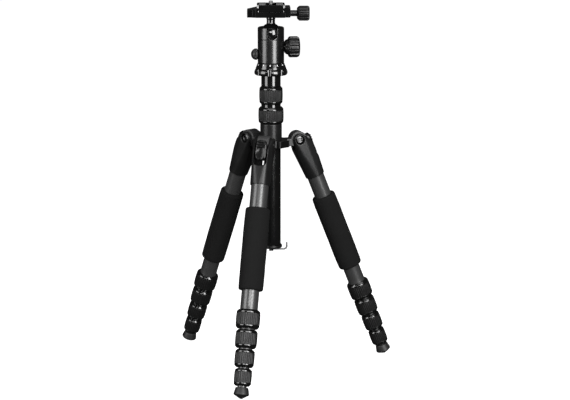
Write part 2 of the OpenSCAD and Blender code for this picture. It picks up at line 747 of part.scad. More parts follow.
for (i = [0:2]) {
    leg = str(LEGS[i], "_leg_");
    leg_casting(i);
    leg_angle_lock(i);
    leg_foam_grip(i);
    leg_foot(i);
    for (k = [0:tube_count - 1])
        leg_tube(i, k);
    for (k = [0:tube_count - 2])
        leg_collar(i, k);
}
spider();
pivot_bolts();
lower_column_collar();
lower_column_tube();
upper_column_collar();
upper_column_tube();
mounting_disc();
end_cap();
weight_hook();
pan_base();
head_body();
ball_cup();
main_knob();
pan_knob();
ball();
plate_clamp();
clamp_jaw();
clamp_knob();
release_plate();
plate_pads();
camera_screw();
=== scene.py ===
# %% [markdown]
# # A travel tripod with a ball head
# This lesson dresses a working CAD model of a folding tripod. The CAD model holds every size and
# joint, so each piece here takes its place and its measures from it, and adds what a maker's
# drawing leaves out: ribs, flutes, rounded edges, weave, foam and paint. We load the frame first.

# %% Loading the frame
import json
import math

import bmesh
import bpy
import numpy as np
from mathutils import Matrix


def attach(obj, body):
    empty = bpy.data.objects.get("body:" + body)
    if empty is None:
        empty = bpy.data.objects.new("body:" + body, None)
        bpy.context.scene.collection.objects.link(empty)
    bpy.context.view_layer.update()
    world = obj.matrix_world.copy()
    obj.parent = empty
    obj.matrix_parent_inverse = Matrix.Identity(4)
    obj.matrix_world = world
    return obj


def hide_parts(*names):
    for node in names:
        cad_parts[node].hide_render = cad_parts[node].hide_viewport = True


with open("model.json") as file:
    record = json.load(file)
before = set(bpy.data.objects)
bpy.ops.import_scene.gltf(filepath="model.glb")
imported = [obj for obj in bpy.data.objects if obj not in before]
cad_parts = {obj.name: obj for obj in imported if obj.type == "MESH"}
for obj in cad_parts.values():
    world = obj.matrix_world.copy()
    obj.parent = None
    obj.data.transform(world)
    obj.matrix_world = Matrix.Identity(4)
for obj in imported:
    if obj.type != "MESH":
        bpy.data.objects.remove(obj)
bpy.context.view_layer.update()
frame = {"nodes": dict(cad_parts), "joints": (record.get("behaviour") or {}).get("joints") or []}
MM = 0.001
LEGS = ("front", "right", "left")
JOINTS = {joint["name"]: joint for joint in frame["joints"]}

# %% [markdown]
# ## Places
# A leg leans, the head is turned on its base and the clamp is turned on the ball. It is much easier
# to shape a piece in axes of its own, in millimetres, and to carry it into the room at the end. A
# Place does that. Its origin and directions come from the joints, because a joint's axis is the
# one line that the pieces on both sides of it share.


# %% Places and measures
def values_of(mesh, name):
    """The centres or normals of a mesh's faces, as rows of an array."""
    flat = np.empty(len(mesh.polygons) * 3, np.float32)
    mesh.polygons.foreach_get(name, flat)
    return flat.reshape(-1, 3).astype(float)


def unit(v):
    """The vector divided by its length."""
    return np.asarray(v, float) / np.linalg.norm(v)


class Place:
    """Axes of a piece: an origin in metres and three unit directions. Its points are in millimetres."""

    def __init__(self, origin, x, z):
        z = unit(z)
        x = unit(np.asarray(x, float) - z * np.dot(x, z))
        self.origin = np.asarray(origin, float)
        self.axes = np.stack([x, np.cross(z, x), z])

    def out(self, points):
        """From millimetres here to metres in the room: the origin plus each coordinate along its axis."""
        return self.origin + points @ self.axes * MM

    def back(self, points):
        """From metres in the room to millimetres here."""
        return (points - self.origin) @ self.axes.T / MM

    def moved(self, x=0.0, y=0.0, z=0.0):
        """The same directions from another origin, given in millimetres."""
        return Place(self.out(np.array([x, y, z])), self.axes[0], self.axes[2])

    def facing(self, x, z):
        """The same origin with new directions, given in this place's own axes."""
        return Place(self.origin, np.asarray(x, float) @ self.axes, np.asarray(z, float) @ self.axes)


def points_of(node, place):
    """A CAD node's vertices in a place's own millimetres."""
    mesh = frame["nodes"][node].data
    flat = np.empty(len(mesh.vertices) * 3, np.float32)
    mesh.vertices.foreach_get("co", flat)
    return place.back(flat.reshape(-1, 3).astype(float))


class Turned:
    """Measures of a CAD node that is round about a place's z axis: its ends, its radii and its bores."""

    def __init__(self, node, place):
        points = points_of(node, place)
        radius, z = np.hypot(points[:, 0], points[:, 1]), points[:, 2]
        near = 0.05
        self.low, self.high = z.min(), z.max()
        self.outer, self.inner = radius.max(), radius.min()
        self.top_outer = radius[z > self.high - near].max()
        self.top_bore = radius[z > self.high - near].min()
        self.low_outer = radius[z < self.low + near].max()
        self.low_bore = radius[z < self.low + near].min()
        self.widest_top = z[radius > self.outer - near].max()
        self.widest_low = z[radius > self.outer - near].min()


def leg_place(leg):
    """Origin at the leg's pivot, x outwards, y along the pivot and z up the leg."""
    fold = JOINTS[f"{leg}_leg_fold"]
    down = np.array(JOINTS[f"{leg}_section_2_slide"]["axis"])
    return Place(fold["pos_m"], np.cross(fold["axis"], down), -down)


leg_at = {leg: leg_place(leg) for leg in LEGS}
tube_offset = leg_at["front"].back(np.array(JOINTS["front_twist_1_turn"]["pos_m"]))[0]
tube_at = {leg: leg_at[leg].moved(x=tube_offset) for leg in LEGS}
head_at = Place(JOINTS["head_pan"]["pos_m"], JOINTS["main_knob_turn"]["axis"], (0, 0, 1))
clamp_at = Place(JOINTS["ball_spin"]["pos_m"], JOINTS["clamp_knob_turn"]["axis"], (0, 0, 1))
pivot_z = JOINTS["front_leg_fold"]["pos_m"][2]
axis_y = JOINTS["head_pan"]["pos_m"][1]
column_at = Place((0, axis_y, pivot_z), (1, 0, 0), (0, 0, 1))
hook_at = Place(JOINTS["hook_fold"]["pos_m"], np.cross(JOINTS["hook_fold"]["axis"], (0, 0, 1)), (0, 0, 1))
print(f"pivots {pivot_z:.4f} m up, column at y = {axis_y:.4f} m, tubes {tube_offset:.1f} mm out")

# %% [markdown]
# ## The camera
# The camera stands a little to the right of the front leg, above the head, and looks down. A long
# lens keeps the legs straight. It is made early so that every piece can be judged in its view. The
# whole set is aimed slightly to the right of the column, so the column stands left of the middle.

# %% The camera
CAMERA_ROUND = math.radians(13.65)
CAMERA_AWAY = 2.352
CAMERA_UP = 0.712
CAMERA_DOWN = math.radians(11.185)
CAMERA_PAN = 0.0086

camera_data = bpy.data.cameras.new("camera")
camera_data.lens = 103.64
camera_data.sensor_width = 36.0
camera_data.clip_end = 60.0
camera = bpy.data.objects.new("camera", camera_data)
camera.location = (
    CAMERA_AWAY * math.sin(CAMERA_ROUND),
    axis_y - CAMERA_AWAY * math.cos(CAMERA_ROUND),
    CAMERA_UP,
)
camera.rotation_euler = (math.pi / 2 - CAMERA_DOWN, 0.0, CAMERA_ROUND - CAMERA_PAN)
bpy.context.scene.collection.objects.link(camera)
bpy.context.scene.camera = camera
print("camera at", [round(c, 3) for c in camera.location])

# %% [markdown]
# ## Meshes from arrays
# Almost every piece of a tripod was turned on a lathe, extruded or cast. All three are surfaces of
# two parameters: rows along an outline and columns round it. We compute such a surface as one
# array of points, join neighbouring rows and columns with four-sided faces, and close the two end
# rows. Points that coincide, such as a pole, are merged. If the volume comes out negative, the
# faces point inwards, and we turn them round.


# %% A closed shell from a grid of points
def finish_mesh(mesh, sharp=32.0):
    """Merges coincident points, points the faces outwards and shades smoothly below an edge angle."""
    work = bmesh.new()
    work.from_mesh(mesh)
    bmesh.ops.remove_doubles(work, verts=work.verts, dist=1e-6)
    bmesh.ops.dissolve_degenerate(work, edges=work.edges, dist=1e-7)
    if work.calc_volume(signed=True) < 0:
        bmesh.ops.reverse_faces(work, faces=work.faces)
    work.to_mesh(mesh)
    work.free()
    mesh.shade_smooth()
    mesh.set_sharp_from_angle(angle=math.radians(sharp))


def put(name, mesh):
    """Links a mesh to the scene as a piece at the origin."""
    piece = bpy.data.objects.new(name, mesh)
    bpy.context.scene.collection.objects.link(piece)
    return piece


def shell(name, points, place, ring=False, sharp=32.0):
    """A closed surface from points[row, column], which goes round in columns.

    A ring also goes round in rows. Otherwise the first and last rows are closed by flat faces.
    The UV map is in millimetres: u is the way round at the widest row, v the way along the rows.
    """
    rows, columns = points.shape[:2]
    bands = rows if ring else rows - 1
    i, j = np.meshgrid(np.arange(bands), np.arange(columns), indexing="ij")
    below, after = (i + 1) % rows, (j + 1) % columns
    quads = np.stack([i * columns + j, i * columns + after, below * columns + after, below * columns + j], -1)
    faces = quads.reshape(-1, 4).tolist()
    if not ring:
        faces += [list(range(columns))[::-1], list(range((rows - 1) * columns, rows * columns))]
    mesh = bpy.data.meshes.new(name)
    mesh.from_pydata(place.out(points.reshape(-1, 3)).tolist(), [], faces)
    steps = np.linalg.norm(np.diff(points, axis=0, append=points[:1]), axis=2).mean(1)
    along = np.concatenate([[0.0], np.cumsum(steps)])
    girth = np.linalg.norm(np.diff(points, axis=1, append=points[:, :1]), axis=2).sum(1).max()
    u = girth * np.stack([j, j + 1, j + 1, j], -1) / columns
    v = along[np.stack([i, i, i + 1, i + 1], -1)]
    flat = np.zeros((len(mesh.loops), 2), np.float32)
    flat[: u.size] = np.stack([u.reshape(-1), v.reshape(-1)], -1)
    mesh.uv_layers.new(name="map").data.foreach_set("uv", flat.reshape(-1))
    finish_mesh(mesh, sharp)
    return put(name, mesh)


# %% [markdown]
# ## Outlines
# A turner never leaves a corner sharp. Our outlines are short lists of corners, each with a radius,
# and every corner is replaced by a smooth curve that starts and ends on its two sides. Longer
# stretches are divided where a rib or a flute has to bend the surface between their ends.


# %% Outlines with rounded corners
def rounded(corners, ring=False, steps=5):
    """Points of an outline of (x, z, radius) corners.

    Each corner P becomes the curve (1-t)^2 A + 2t(1-t) P + t^2 B, where A and B lie on its two sides,
    a radius away but never past the middle of a side.
    """
    spots = np.array([corner[:2] for corner in corners], float)
    outline = []
    for n, (x, z, radius) in enumerate(corners):
        end = not ring and n in (0, len(corners) - 1)
        if end or radius <= 0:
            outline.append(np.array([[x, z]], float))
            continue
        before, here, after = spots[n - 1], spots[n], spots[(n + 1) % len(corners)]
        reach_before = min(radius, 0.49 * np.linalg.norm(before - here))
        reach_after = min(radius, 0.49 * np.linalg.norm(after - here))
        a, b = here + unit(before - here) * reach_before, here + unit(after - here) * reach_after
        t = np.linspace(0, 1, steps)[:, None]
        outline.append((1 - t) ** 2 * a + 2 * t * (1 - t) * here + t**2 * b)
    return np.concatenate(outline)


def divided(outline, step, ring=False):
    """The outline with points added, so that no stretch is longer than step."""
    ends = np.roll(outline, -1, axis=0) if ring else np.append(outline[1:], outline[-1:], axis=0)
    parts = np.maximum(1, np.ceil(np.linalg.norm(ends - outline, axis=1) / step)).astype(int)
    starts = np.repeat(np.arange(len(outline)), parts)
    count = np.arange(len(starts)) - np.repeat(np.cumsum(parts) - parts, parts)
    share = (count / parts[starts])[:, None]
    return outline[starts] * (1 - share) + ends[starts] * share


def turned(name, outline, place, turns=96, ring=False, shape=None, sharp=32.0):
    """An outline of (radius, height) carried round z: x = r cos a, y = r sin a, z = height.

    shape(r, z, a) gives the radius at each point, for ribs, flutes and notches.
    """
    angle = np.arange(turns) * 2 * math.pi / turns
    r, z, a = np.broadcast_arrays(outline[:, :1], outline[:, 1:], angle[None])
    r = shape(r, z, a) if shape else r
    return shell(name, np.stack([r * np.cos(a), r * np.sin(a), z], -1), place, ring, sharp)


def extruded(name, outline, place, low, high):
    """An outline of (x, z) carried along y from low to high."""
    y = np.array([low, high], float)[:, None]
    x, y, z = np.broadcast_arrays(outline[None, :, 0], y, outline[None, :, 1])
    return shell(name, np.stack([x, y, z], -1), place, sharp=28.0)


print("a rounded square has", len(rounded([(0, 0, 1), (9, 0, 1), (9, 9, 1), (0, 9, 1)], ring=True)), "points")

# %% [markdown]
# ## Cutting, rounding and recasting
# Slots and holes are cut with the Boolean modifier. Machined pieces then get a narrow bevel on
# their edges, which is what catches the light. Cast pieces are different: a casting has no sharp
# edge anywhere, so it is remeshed into small even cells and relaxed a little, which rounds every
# edge and fillet alike. Each modifier is applied at once, so that the mesh we see is the mesh we keep.


# %% Cutting, rounding and recasting
def settle(piece):
    """Replaces a piece's mesh by the result of its modifiers."""
    graph = bpy.context.evaluated_depsgraph_get()
    graph.update()
    mesh = bpy.data.meshes.new_from_object(piece.evaluated_get(graph))
    piece.modifiers.clear()
    piece.data = mesh
    return piece


def cut(piece, *cutters, keep=False):
    """Cuts pieces out of a piece, or keeps only what it shares with them."""
    for cutter in cutters:
        modifier = piece.modifiers.new("cut", "BOOLEAN")
        modifier.operation = "INTERSECT" if keep else "DIFFERENCE"
        modifier.solver = "MANIFOLD"
        modifier.object = cutter
    settle(piece)
    for cutter in cutters:
        bpy.data.objects.remove(cutter)
    return piece


def bevelled(piece, width, angle=38.0, segments=2, merge=0.0):
    """Rounds every edge sharper than an angle, over a width in millimetres.

    Normals are weighted by face area afterwards, so that large faces stay flat up to their bevels.
    """
    if merge:
        work = bmesh.new()
        work.from_mesh(piece.data)
        bmesh.ops.remove_doubles(work, verts=work.verts, dist=merge * MM)
        work.to_mesh(piece.data)
        work.free()
    modifier = piece.modifiers.new("bevel", "BEVEL")
    modifier.width = width * MM
    modifier.segments = segments
    modifier.limit_method = "ANGLE"
    modifier.angle_limit = math.radians(angle)
    modifier.use_clamp_overlap = False
    modifier.miter_outer = "MITER_ARC"
    settle(piece)
    finish_mesh(piece.data, 75.0)
    weigh = piece.modifiers.new("flat", "WEIGHTED_NORMAL")
    weigh.keep_sharp = True
    return settle(piece)


def recast(piece, cell=0.42, rounds=5):
    """Remeshes a piece into even cells and relaxes them, which rounds its edges by about one cell."""
    remesh = piece.modifiers.new("cells", "REMESH")
    remesh.mode = "VOXEL"
    remesh.voxel_size = cell * MM
    relax = piece.modifiers.new("relax", "SMOOTH")
    relax.factor = 0.5
    relax.iterations = rounds
    settle(piece)
    finish_mesh(piece.data, 180.0)
    return piece


def copy_of(node, name):
    """A merged copy of a CAD node's mesh, free to be changed."""
    piece = put(name, frame["nodes"][node].data.copy())
    piece.data.materials.clear()
    finish_mesh(piece.data)
    return piece


def dissolved(piece, angle=2.0):
    """Joins faces that lie almost in one plane, so that a bevel sees only the true edges."""
    work = bmesh.new()
    work.from_mesh(piece.data)
    bmesh.ops.dissolve_limit(work, angle_limit=math.radians(angle), verts=work.verts, edges=work.edges)
    work.to_mesh(piece.data)
    work.free()
    return piece


# %% [markdown]
# ## Writing shaders as sums
# A procedural finish is arithmetic on coordinates. Wire stands for one output of a node and knows
# how to be added, multiplied or compared, so that a pattern reads like its formula. Finish holds a
# material while it is being made, and its one node method adds any other node. Only what changes
# over the surface is linked. Everything that is the same all over is set on the shader itself.


# %% Wires and finishes
class Wire:
    """An output of a shader node. Arithmetic on it adds Math nodes."""

    def __init__(self, finish, socket):
        self.finish, self.socket = finish, socket

    def math(self, operation, *others):
        return self.finish.node("ShaderNodeMath", {"operation": operation}, [self, *others])

    def __add__(self, other):
        return self.math("ADD", other)

    __radd__ = __add__

    def __sub__(self, other):
        return self.math("SUBTRACT", other)

    def __rsub__(self, other):
        return self.finish.node("ShaderNodeMath", {"operation": "SUBTRACT"}, [other, self])

    def __mul__(self, other):
        return self.math("MULTIPLY", other)

    __rmul__ = __mul__

    def __truediv__(self, other):
        return self.math("DIVIDE", other)

    def __lt__(self, other):
        return self.math("LESS_THAN", other)

    def __gt__(self, other):
        return self.math("GREATER_THAN", other)

    def fraction(self):
        return self.math("FRACT")

    def floor(self):
        return self.math("FLOOR")

    def away(self):
        return self.math("ABSOLUTE")


class Finish:
    """A material in the making. Its constants are sockets of the one Principled shader."""

    def __init__(self, name, **constants):
        self.material = bpy.data.materials.new(name)
        self.material.use_nodes = True
        self.tree = self.material.node_tree
        self.shader = self.tree.nodes["Principled BSDF"]
        for socket, value in constants.items():
            self.shader.inputs[socket.replace("_", " ")].default_value = value

    def node(self, kind, settings=None, inputs=(), output=0):
        """Adds a node: its settings first, then its inputs by name or in order, as wires or values."""
        made = self.tree.nodes.new(kind)
        for key, value in (settings or {}).items():
            if key == "stops":
                ramp = made.color_ramp.elements
                for n, (position, colour) in enumerate(value):
                    stop = ramp[n] if n < 2 else ramp.new(position)
                    stop.position, stop.color = position, colour
            else:
                setattr(made, key, value)
        pairs = inputs.items() if isinstance(inputs, dict) else enumerate(inputs)
        for key, value in pairs:
            self.join(made.inputs[key], value)
        return Wire(self, made.outputs[output])

    def join(self, socket, value):
        if isinstance(value, Wire):
            self.tree.links.new(value.socket, socket)
        else:
            socket.default_value = value

    def feed(self, **wires):
        for socket, wire in wires.items():
            self.join(self.shader.inputs[socket.replace("_", " ")], wire)
        return self

    def place(self):
        """Coordinates of the room, in metres, which slide with no piece because all sit at the origin."""
        return self.node("ShaderNodeTexCoord", output="Object")

    def map(self):
        """The two coordinates of the piece's own map, in millimetres."""
        split = self.node("ShaderNodeSeparateXYZ", inputs=[self.node("ShaderNodeTexCoord", output="UV")])
        return split, Wire(self, split.socket.node.outputs[1])

    def noise(self, scale, detail=3.0, roughness=0.55, vector=None):
        """Cloudy values between 0 and 1. The scale is in features a metre."""
        inputs = {"Vector": vector or self.place(), "Scale": scale, "Detail": detail, "Roughness": roughness}
        return self.node("ShaderNodeTexNoise", inputs=inputs)

    def blend(self, factor, low, high):
        """A colour between two greys or colours."""
        colours = [(c, c, c, 1.0) if isinstance(c, float) else (*c, 1.0) for c in (low, high)]
        stops = list(zip((0.0, 1.0), colours))
        return self.node("ShaderNodeValToRGB", {"stops": stops}, [factor])

    def bump(self, height, strength, distance):
        """A normal bent by a height, over a distance in millimetres."""
        inputs = {"Height": height, "Strength": strength, "Distance": distance * MM}
        return self.node("ShaderNodeBump", inputs=inputs)


print("wires and finishes ready")

# %% [markdown]
# ## Finishes: paint, anodising and steel
# Cast parts are powder painted: satin, with a very fine orange peel. Turned aluminium is anodised
# gloss black over lathe marks too fine to see one by one. Handling leaves both slightly uneven, so
# roughness wanders with a slow noise. The colours are far from pure black, as all real paint is.


# %% Paint, anodising and steel
def painted(name, dark, light, rough, index=1.4):
    """Satin powder paint: fine peel as bump, slow noise in the colour and the roughness."""
    finish = Finish(name, IOR=index)
    slow, peel = finish.noise(60.0), finish.noise(2600.0, 2.0)
    finish.feed(
        Base_Color=finish.blend(slow, dark, light),
        Roughness=slow * 0.12 + (rough - 0.06),
        Normal=finish.bump(peel, 0.18, 0.05),
    )
    return finish.material


def anodised(name, dark, light, rough, index=1.7):
    """Black anodised aluminium: almost no colour, and roughness that wanders with handling."""
    finish = Finish(name, Metallic=0.0, IOR=index)
    slow, grain = finish.noise(45.0), finish.noise(1900.0, 2.0)
    finish.feed(
        Base_Color=finish.blend(slow, dark, light),
        Roughness=slow * 0.10 + grain * 0.04 + (rough - 0.07),
        Normal=finish.bump(grain, 0.05, 0.02),
    )
    return finish.material


def bare_metal(name, dark, light, rough, metallic=1.0):
    """Bright metal with fine scratches: noise stretched along one direction."""
    finish = Finish(name, Metallic=metallic, IOR=2.2)
    stretch = finish.node("ShaderNodeMapping", inputs={"Vector": finish.place(), "Scale": (1.0, 1.0, 0.06)})
    lines = finish.noise(5200.0, 2.0, vector=stretch)
    finish.feed(
        Base_Color=finish.blend(lines, dark, light),
        Roughness=lines * 0.14 + (rough - 0.07),
        Normal=finish.bump(lines, 0.08, 0.02),
    )
    return finish.material


casting_paint = painted("casting_paint", 0.005, 0.010, 0.33, 1.36)
hub_paint = painted("hub_paint", 0.005, 0.009, 0.30)
# Lug paint: a lighter grey, painted light standing in for the light on the right leg's lug.
lug_painted_light = painted("lug_painted_light", 0.026, 0.040, 0.40)
lock_paint = painted("lock_paint", 0.003, 0.006, 0.22)
# Recess paint: near-black and barely reflecting, painted shade for the hollow of each casting's recess.
recess_painted_shade = painted("recess_painted_shade", 0.0006, 0.0012, 0.45, 1.15)
catch_steel = bare_metal("catch_steel", 0.55, 0.75, 0.45, 0.5)
body_black = anodised("body_black", 0.002, 0.004, 0.25)
gloss_black = anodised("gloss_black", 0.002, 0.004, 0.13)
column_black = anodised("column_black", 0.002, 0.004, 0.12)
clamp_black = anodised("clamp_black", 0.001, 0.003, 0.20, 1.34)
bolt_steel = bare_metal("bolt_steel", 0.05, 0.12, 0.24)
hook_steel = bare_metal("hook_steel", 0.16, 0.24, 0.42, 0.5)
screw_steel = bare_metal("screw_steel", 0.26, 0.36, 0.36, 0.8)
cut_aluminium = bare_metal("cut_aluminium", 0.50, 0.66, 0.50, 0.6)
print("paint, anodising and steel mixed")

# %% [markdown]
# ## Finishes: carbon, foam and rubber
# The leg tubes are wound from carbon cloth in a 2 by 2 twill. Each bundle of fibres passes over two
# and under two, and each row starts one bundle further on, which draws the diagonal. On the map in
# millimetres that is a floor, a sum and a remainder. Foam is a skin over thousands of cells, so its
# bump is a cell pattern with no shine at all. Rubber keeps a soft sheen and a fine moulded grain.


# %% Carbon, foam and rubber
def carbon_cloth(name, dark, light, bundle=2.2):
    """2 by 2 twill: over where (column + row) mod 4 is below 2, each bundle rounded across its width."""
    finish = Finish(name, IOR=1.52, Coat_Weight=0.5, Coat_Roughness=0.16)
    u, v = finish.map()
    u, v = u / bundle, v / bundle
    over = (u.floor() + v.floor()).math("FLOORED_MODULO", 4.0) < 1.5
    across = over * u.fraction() + (1 - over) * v.fraction()
    crown = 1 - (across * 2 - 1).math("POWER", 2.0)
    shade = over * 0.55 + crown * 0.25 + finish.noise(90.0) * 0.2
    finish.feed(
        Base_Color=finish.blend(shade, dark, light),
        Roughness=0.5 - over * 0.1 - crown * 0.06,
        Normal=finish.bump(crown, 0.16, 0.06),
    )
    return finish.material


def soft_foam(name):
    """Closed-cell foam: two sizes of cells as bump, and a colour that follows the cells a little."""
    finish = Finish(name, IOR=1.2)
    cells = finish.node("ShaderNodeTexVoronoi", inputs={"Vector": finish.place(), "Scale": 1500.0})
    fine, slow = finish.noise(4200.0, 2.0), finish.noise(35.0)
    height = cells * 0.7 + fine * 0.5
    finish.feed(
        Base_Color=finish.blend(height * 0.5 + slow * 0.4, 0.004, 0.011),
        Roughness=0.86 + slow * 0.12,
        Normal=finish.bump(height, 0.5, 0.22),
    )
    return finish.material


def moulded_rubber(name, dark, light, rough, index=1.48):
    """Moulded rubber or glass-filled plastic: a fine even grain and a soft sheen."""
    finish = Finish(name, IOR=index)
    grain, slow = finish.noise(3200.0, 3.0), finish.noise(70.0)
    finish.feed(
        Base_Color=finish.blend(grain * 0.5 + slow * 0.5, dark, light),
        Roughness=grain * 0.12 + (rough - 0.06),
        Normal=finish.bump(grain, 0.22, 0.06),
    )
    return finish.material


tube_carbon = carbon_cloth("tube_carbon", 0.020, 0.034, 1.3)
grip_foam = soft_foam("grip_foam")
sleeve_rubber = moulded_rubber("sleeve_rubber", 0.004, 0.008, 0.40, 1.38)
knob_rubber = moulded_rubber("knob_rubber", 0.003, 0.006, 0.30)
foot_rubber = moulded_rubber("foot_rubber", 0.007, 0.012, 0.50)
pad_rubber = moulded_rubber("pad_rubber", 0.11, 0.16, 0.60)
cup_nylon = moulded_rubber("cup_nylon", 0.50, 0.60, 0.50)
print("carbon, foam and rubber mixed")

# %% [markdown]
# ## Putting a piece on the tripod
# A real tripod is put together from parts that each have a finish and a place to bolt to. Every
# piece here goes through the same few steps: paint it, let it ride on its moving body, and say
# which nodes of the CAD model it stands for. One function keeps them alike.

# %% Adding a piece to the tripod
def add(piece, body, slot, finish, *nodes):
    """Paints a piece, lets it ride on a body and stand for CAD nodes. The slot argument is not used."""
    piece.data.materials.clear()
    piece.data.materials.append(finish)
    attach(piece, body)
    if nodes:
        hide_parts(*nodes)
    return piece


# %% [markdown]
# ## Leg tubes
# Five tubes slide one inside the next. Each is a real tube with a wall, because the inner ends can
# be seen when a leg is folded up or pulled apart. The lower end of the first four carries a slightly
# wider ferrule for the collar's thread. Our outline goes once round the wall, so the grid is a ring
# in both directions and the map runs along the tube in millimetres, ready for the weave.


# %% Leg tubes
def leg_tube(leg, k):
    """Outline of the wall, from the measured bore, tube, ferrule and ends."""
    node, place = f"{leg}_leg_tube_{k}", tube_at[leg]
    size = Turned(node, place)
    edge = 0.25
    corners = [(size.top_bore, size.high, edge), (size.top_outer, size.high, edge)]
    if size.outer > size.top_outer + 0.1:
        corners += [(size.top_outer, size.widest_top, 0.1), (size.outer, size.widest_top, edge)]
    corners += [(size.outer, size.low, edge), (size.low_bore, size.low, edge)]
    outline = divided(rounded(corners, ring=True, steps=3), 12.0, ring=True)
    body = f"{leg}_upper_leg" if k == 1 else f"{leg}_section_{k}"
    return add(turned(f"{node}_wall", outline, place, 72, ring=True), body, "carbon", tube_carbon, node)


for leg in LEGS:
    for k in range(1, 6):
        tube = leg_tube(leg, k)
    print(f"{leg}: five tubes, the thinnest has {len(tube.data.polygons)} faces")

# %% [markdown]
# ## Twist collars
# A collar is a gloss ring at each end with a ribbed rubber sleeve between them, for grip with cold
# hands. The core is turned with a seat for the sleeve. The sleeve's radius swells slightly towards
# its middle and is pushed in by a rib pattern: a wave in the angle, faded out near both ends so that
# every rib has a finished tip. All stays inside the drawn radius.


# %% Twist collars
RIB_DEPTH = 0.6
SEAT_DEPTH = 1.3


def collar_core(name, size, place, ring_h):
    """Gloss core: chamfered rings at both ends, and between them a seat for the sleeve."""
    r, top, low = size.outer, size.high, size.low
    corners = [
        (size.top_bore, top, 0.3), (r - 2.9, top, 0.6), (r - 0.35, top - 0.62 * ring_h, 0.9),
        (r - 0.35, top - ring_h, 0.15), (r - SEAT_DEPTH, top - ring_h, 0),
        (r - SEAT_DEPTH, low + ring_h, 0), (r - 0.35, low + ring_h, 0.15),
        (r - 0.35, low + 0.62 * ring_h, 0.9), (r - 2.9, low, 0.6), (size.low_bore, low, 0.3),
    ]
    return turned(name, rounded(corners, ring=True), place, 96, ring=True)


def collar_sleeve(name, size, place, ring_h, ribs):
    """Ribbed sleeve: radius less RIB_DEPTH times a sharpened wave, and barrel-shaped along its height."""
    top, low, gap = size.high - ring_h, size.low + ring_h, 0.12
    middle, half = (top + low) / 2, (top - low) / 2
    corners = [
        (size.outer - SEAT_DEPTH - 0.3, top - gap, 0), (size.outer, top - gap, 0.7),
        (size.outer, low + gap, 0.7), (size.outer - SEAT_DEPTH - 0.3, low + gap, 0),
    ]

    def shape(r, z, a):
        along = (z - middle) / half
        outside = np.clip((r - size.outer + SEAT_DEPTH) / SEAT_DEPTH, 0, 1)
        fade = np.clip((1 - np.abs(along)) * half / 1.4, 0, 1)
        wave = (0.5 - 0.5 * np.cos(ribs * a)) ** 2
        return r - outside * (0.25 * along**2 + RIB_DEPTH * fade * wave)

    outline = divided(rounded(corners, ring=True), 1.1, ring=True)
    return turned(name, outline, place, 10 * ribs, ring=True, shape=shape, sharp=60.0)


def collar(node, place, body, ribs):
    """Both pieces of a collar, with end rings a seventh of its height."""
    size = Turned(node, place)
    ring_h = 0.17 * (size.high - size.low)
    core = add(collar_core(f"{node}_core", size, place, ring_h), body, "collar", gloss_black, node)
    sleeve = collar_sleeve(f"{node}_sleeve", size, place, ring_h, ribs)
    add(sleeve, body, "collar", sleeve_rubber, node)
    return core, sleeve


for leg in LEGS:
    for k in range(1, 5):
        core, sleeve = collar(f"{leg}_leg_collar_{k}", tube_at[leg], f"{leg}_twist_{k}", 38 - 3 * k)
lower_collar = collar("lower_column_collar", column_at, "lower_column_twist", 40)
upper_collar = collar("upper_column_collar", column_at, "upper_column_twist", 38)
print(f"14 collars, the last leg sleeve has {len(sleeve.data.polygons)} faces")

# %% [markdown]
# ## Foam grips
# Closed-cell foam is stretched over the tube and glued. It is not stuffed, so it needs no cloth
# simulation: it is a thick soft sleeve that shrinks a little towards its cut ends, rolls over at
# the edges and is never quite even. A slow wave in height and angle, well under half a millimetre,
# takes the machined look away.


# %% Foam grips
def foam_grip(leg, phase):
    """A sleeve whose radius dips at the ends and wanders: three slow waves in angle and height."""
    node, place = f"{leg}_leg_foam_grip", tube_at[leg]
    size = Turned(node, place)
    r, middle, half = size.outer, (size.high + size.low) / 2, (size.high - size.low) / 2
    corners = [
        (size.inner, size.high, 0.5), (r, size.high, 3.2), (r, size.low, 3.0), (size.inner, size.low, 0.5),
    ]

    def shape(radius, z, a):
        along = (z - middle) / half
        outside = np.clip((radius - size.inner) / (r - size.inner), 0, 1)
        waves = np.sin(2 * a + 5 * along + phase) + np.sin(3 * a - 8 * along + 2 * phase)
        waves = waves + 0.7 * np.sin(17 * along + a + phase)
        return radius - outside * (0.5 * along**6 + 0.18 + 0.06 * waves)

    outline = divided(rounded(corners, ring=True, steps=8), 2.5, ring=True)
    grip = turned(f"{node}_sleeve", outline, place, 96, ring=True, shape=shape, sharp=180.0)
    add(grip, f"{leg}_upper_leg", "foam", grip_foam, node)
    return grip


for n, leg in enumerate(LEGS):
    grip = foam_grip(leg, 1.7 * n)
print(f"three foam grips of {len(grip.data.polygons)} faces")

# %% [markdown]
# ## Feet
# Each leg ends in a moulded rubber foot: a barrel that widens downwards and a blunt cone that bites
# into soft ground. The cone is steeper than the leg's lean, so its rim is what touches the floor.


# %% Feet
def foot(leg):
    """Barrel and a cone, turned from one outline with a socket for the last tube."""
    node, place = f"{leg}_leg_foot", tube_at[leg]
    size = Turned(node, place)
    top, low, r = size.high, size.low, size.outer
    rim = size.widest_low
    corners = [(0, top - 9, 0), (size.top_bore, top - 9, 0), (size.top_bore, top, 0.3)]
    corners += [(size.top_outer, top, 0.8), (r, rim + 1.4, 0.6), (r, rim, 0.5), (size.low_outer, low, 0.5)]
    corners += [(0, low, 0)]
    rubber = turned(f"{node}_rubber", rounded(corners), place, 72)
    return add(rubber, f"{leg}_section_5", "rubber", foot_rubber, node)


for leg in LEGS:
    rubber_foot = foot(leg)
print(f"three feet of {len(rubber_foot.data.polygons)} faces")

# %% [markdown]
# ## Leg castings
# The casting is the hood at the top of each leg. A sheet stretched over a few rounded discs has just
# this form: round cheeks at the pivot, a shoulder for the angle lock and a round lower end. The
# furthest point of a rounded disc in a direction is easy to write down, so the stretched sheet is a
# function of direction: in each one we take the discs' furthest points and let the furthest win,
# with a short blend. Then the slot for the hub's lug, the lock's recess and the bolt seats are cut,
# and the piece is recast so that every edge is rounded like a real casting.


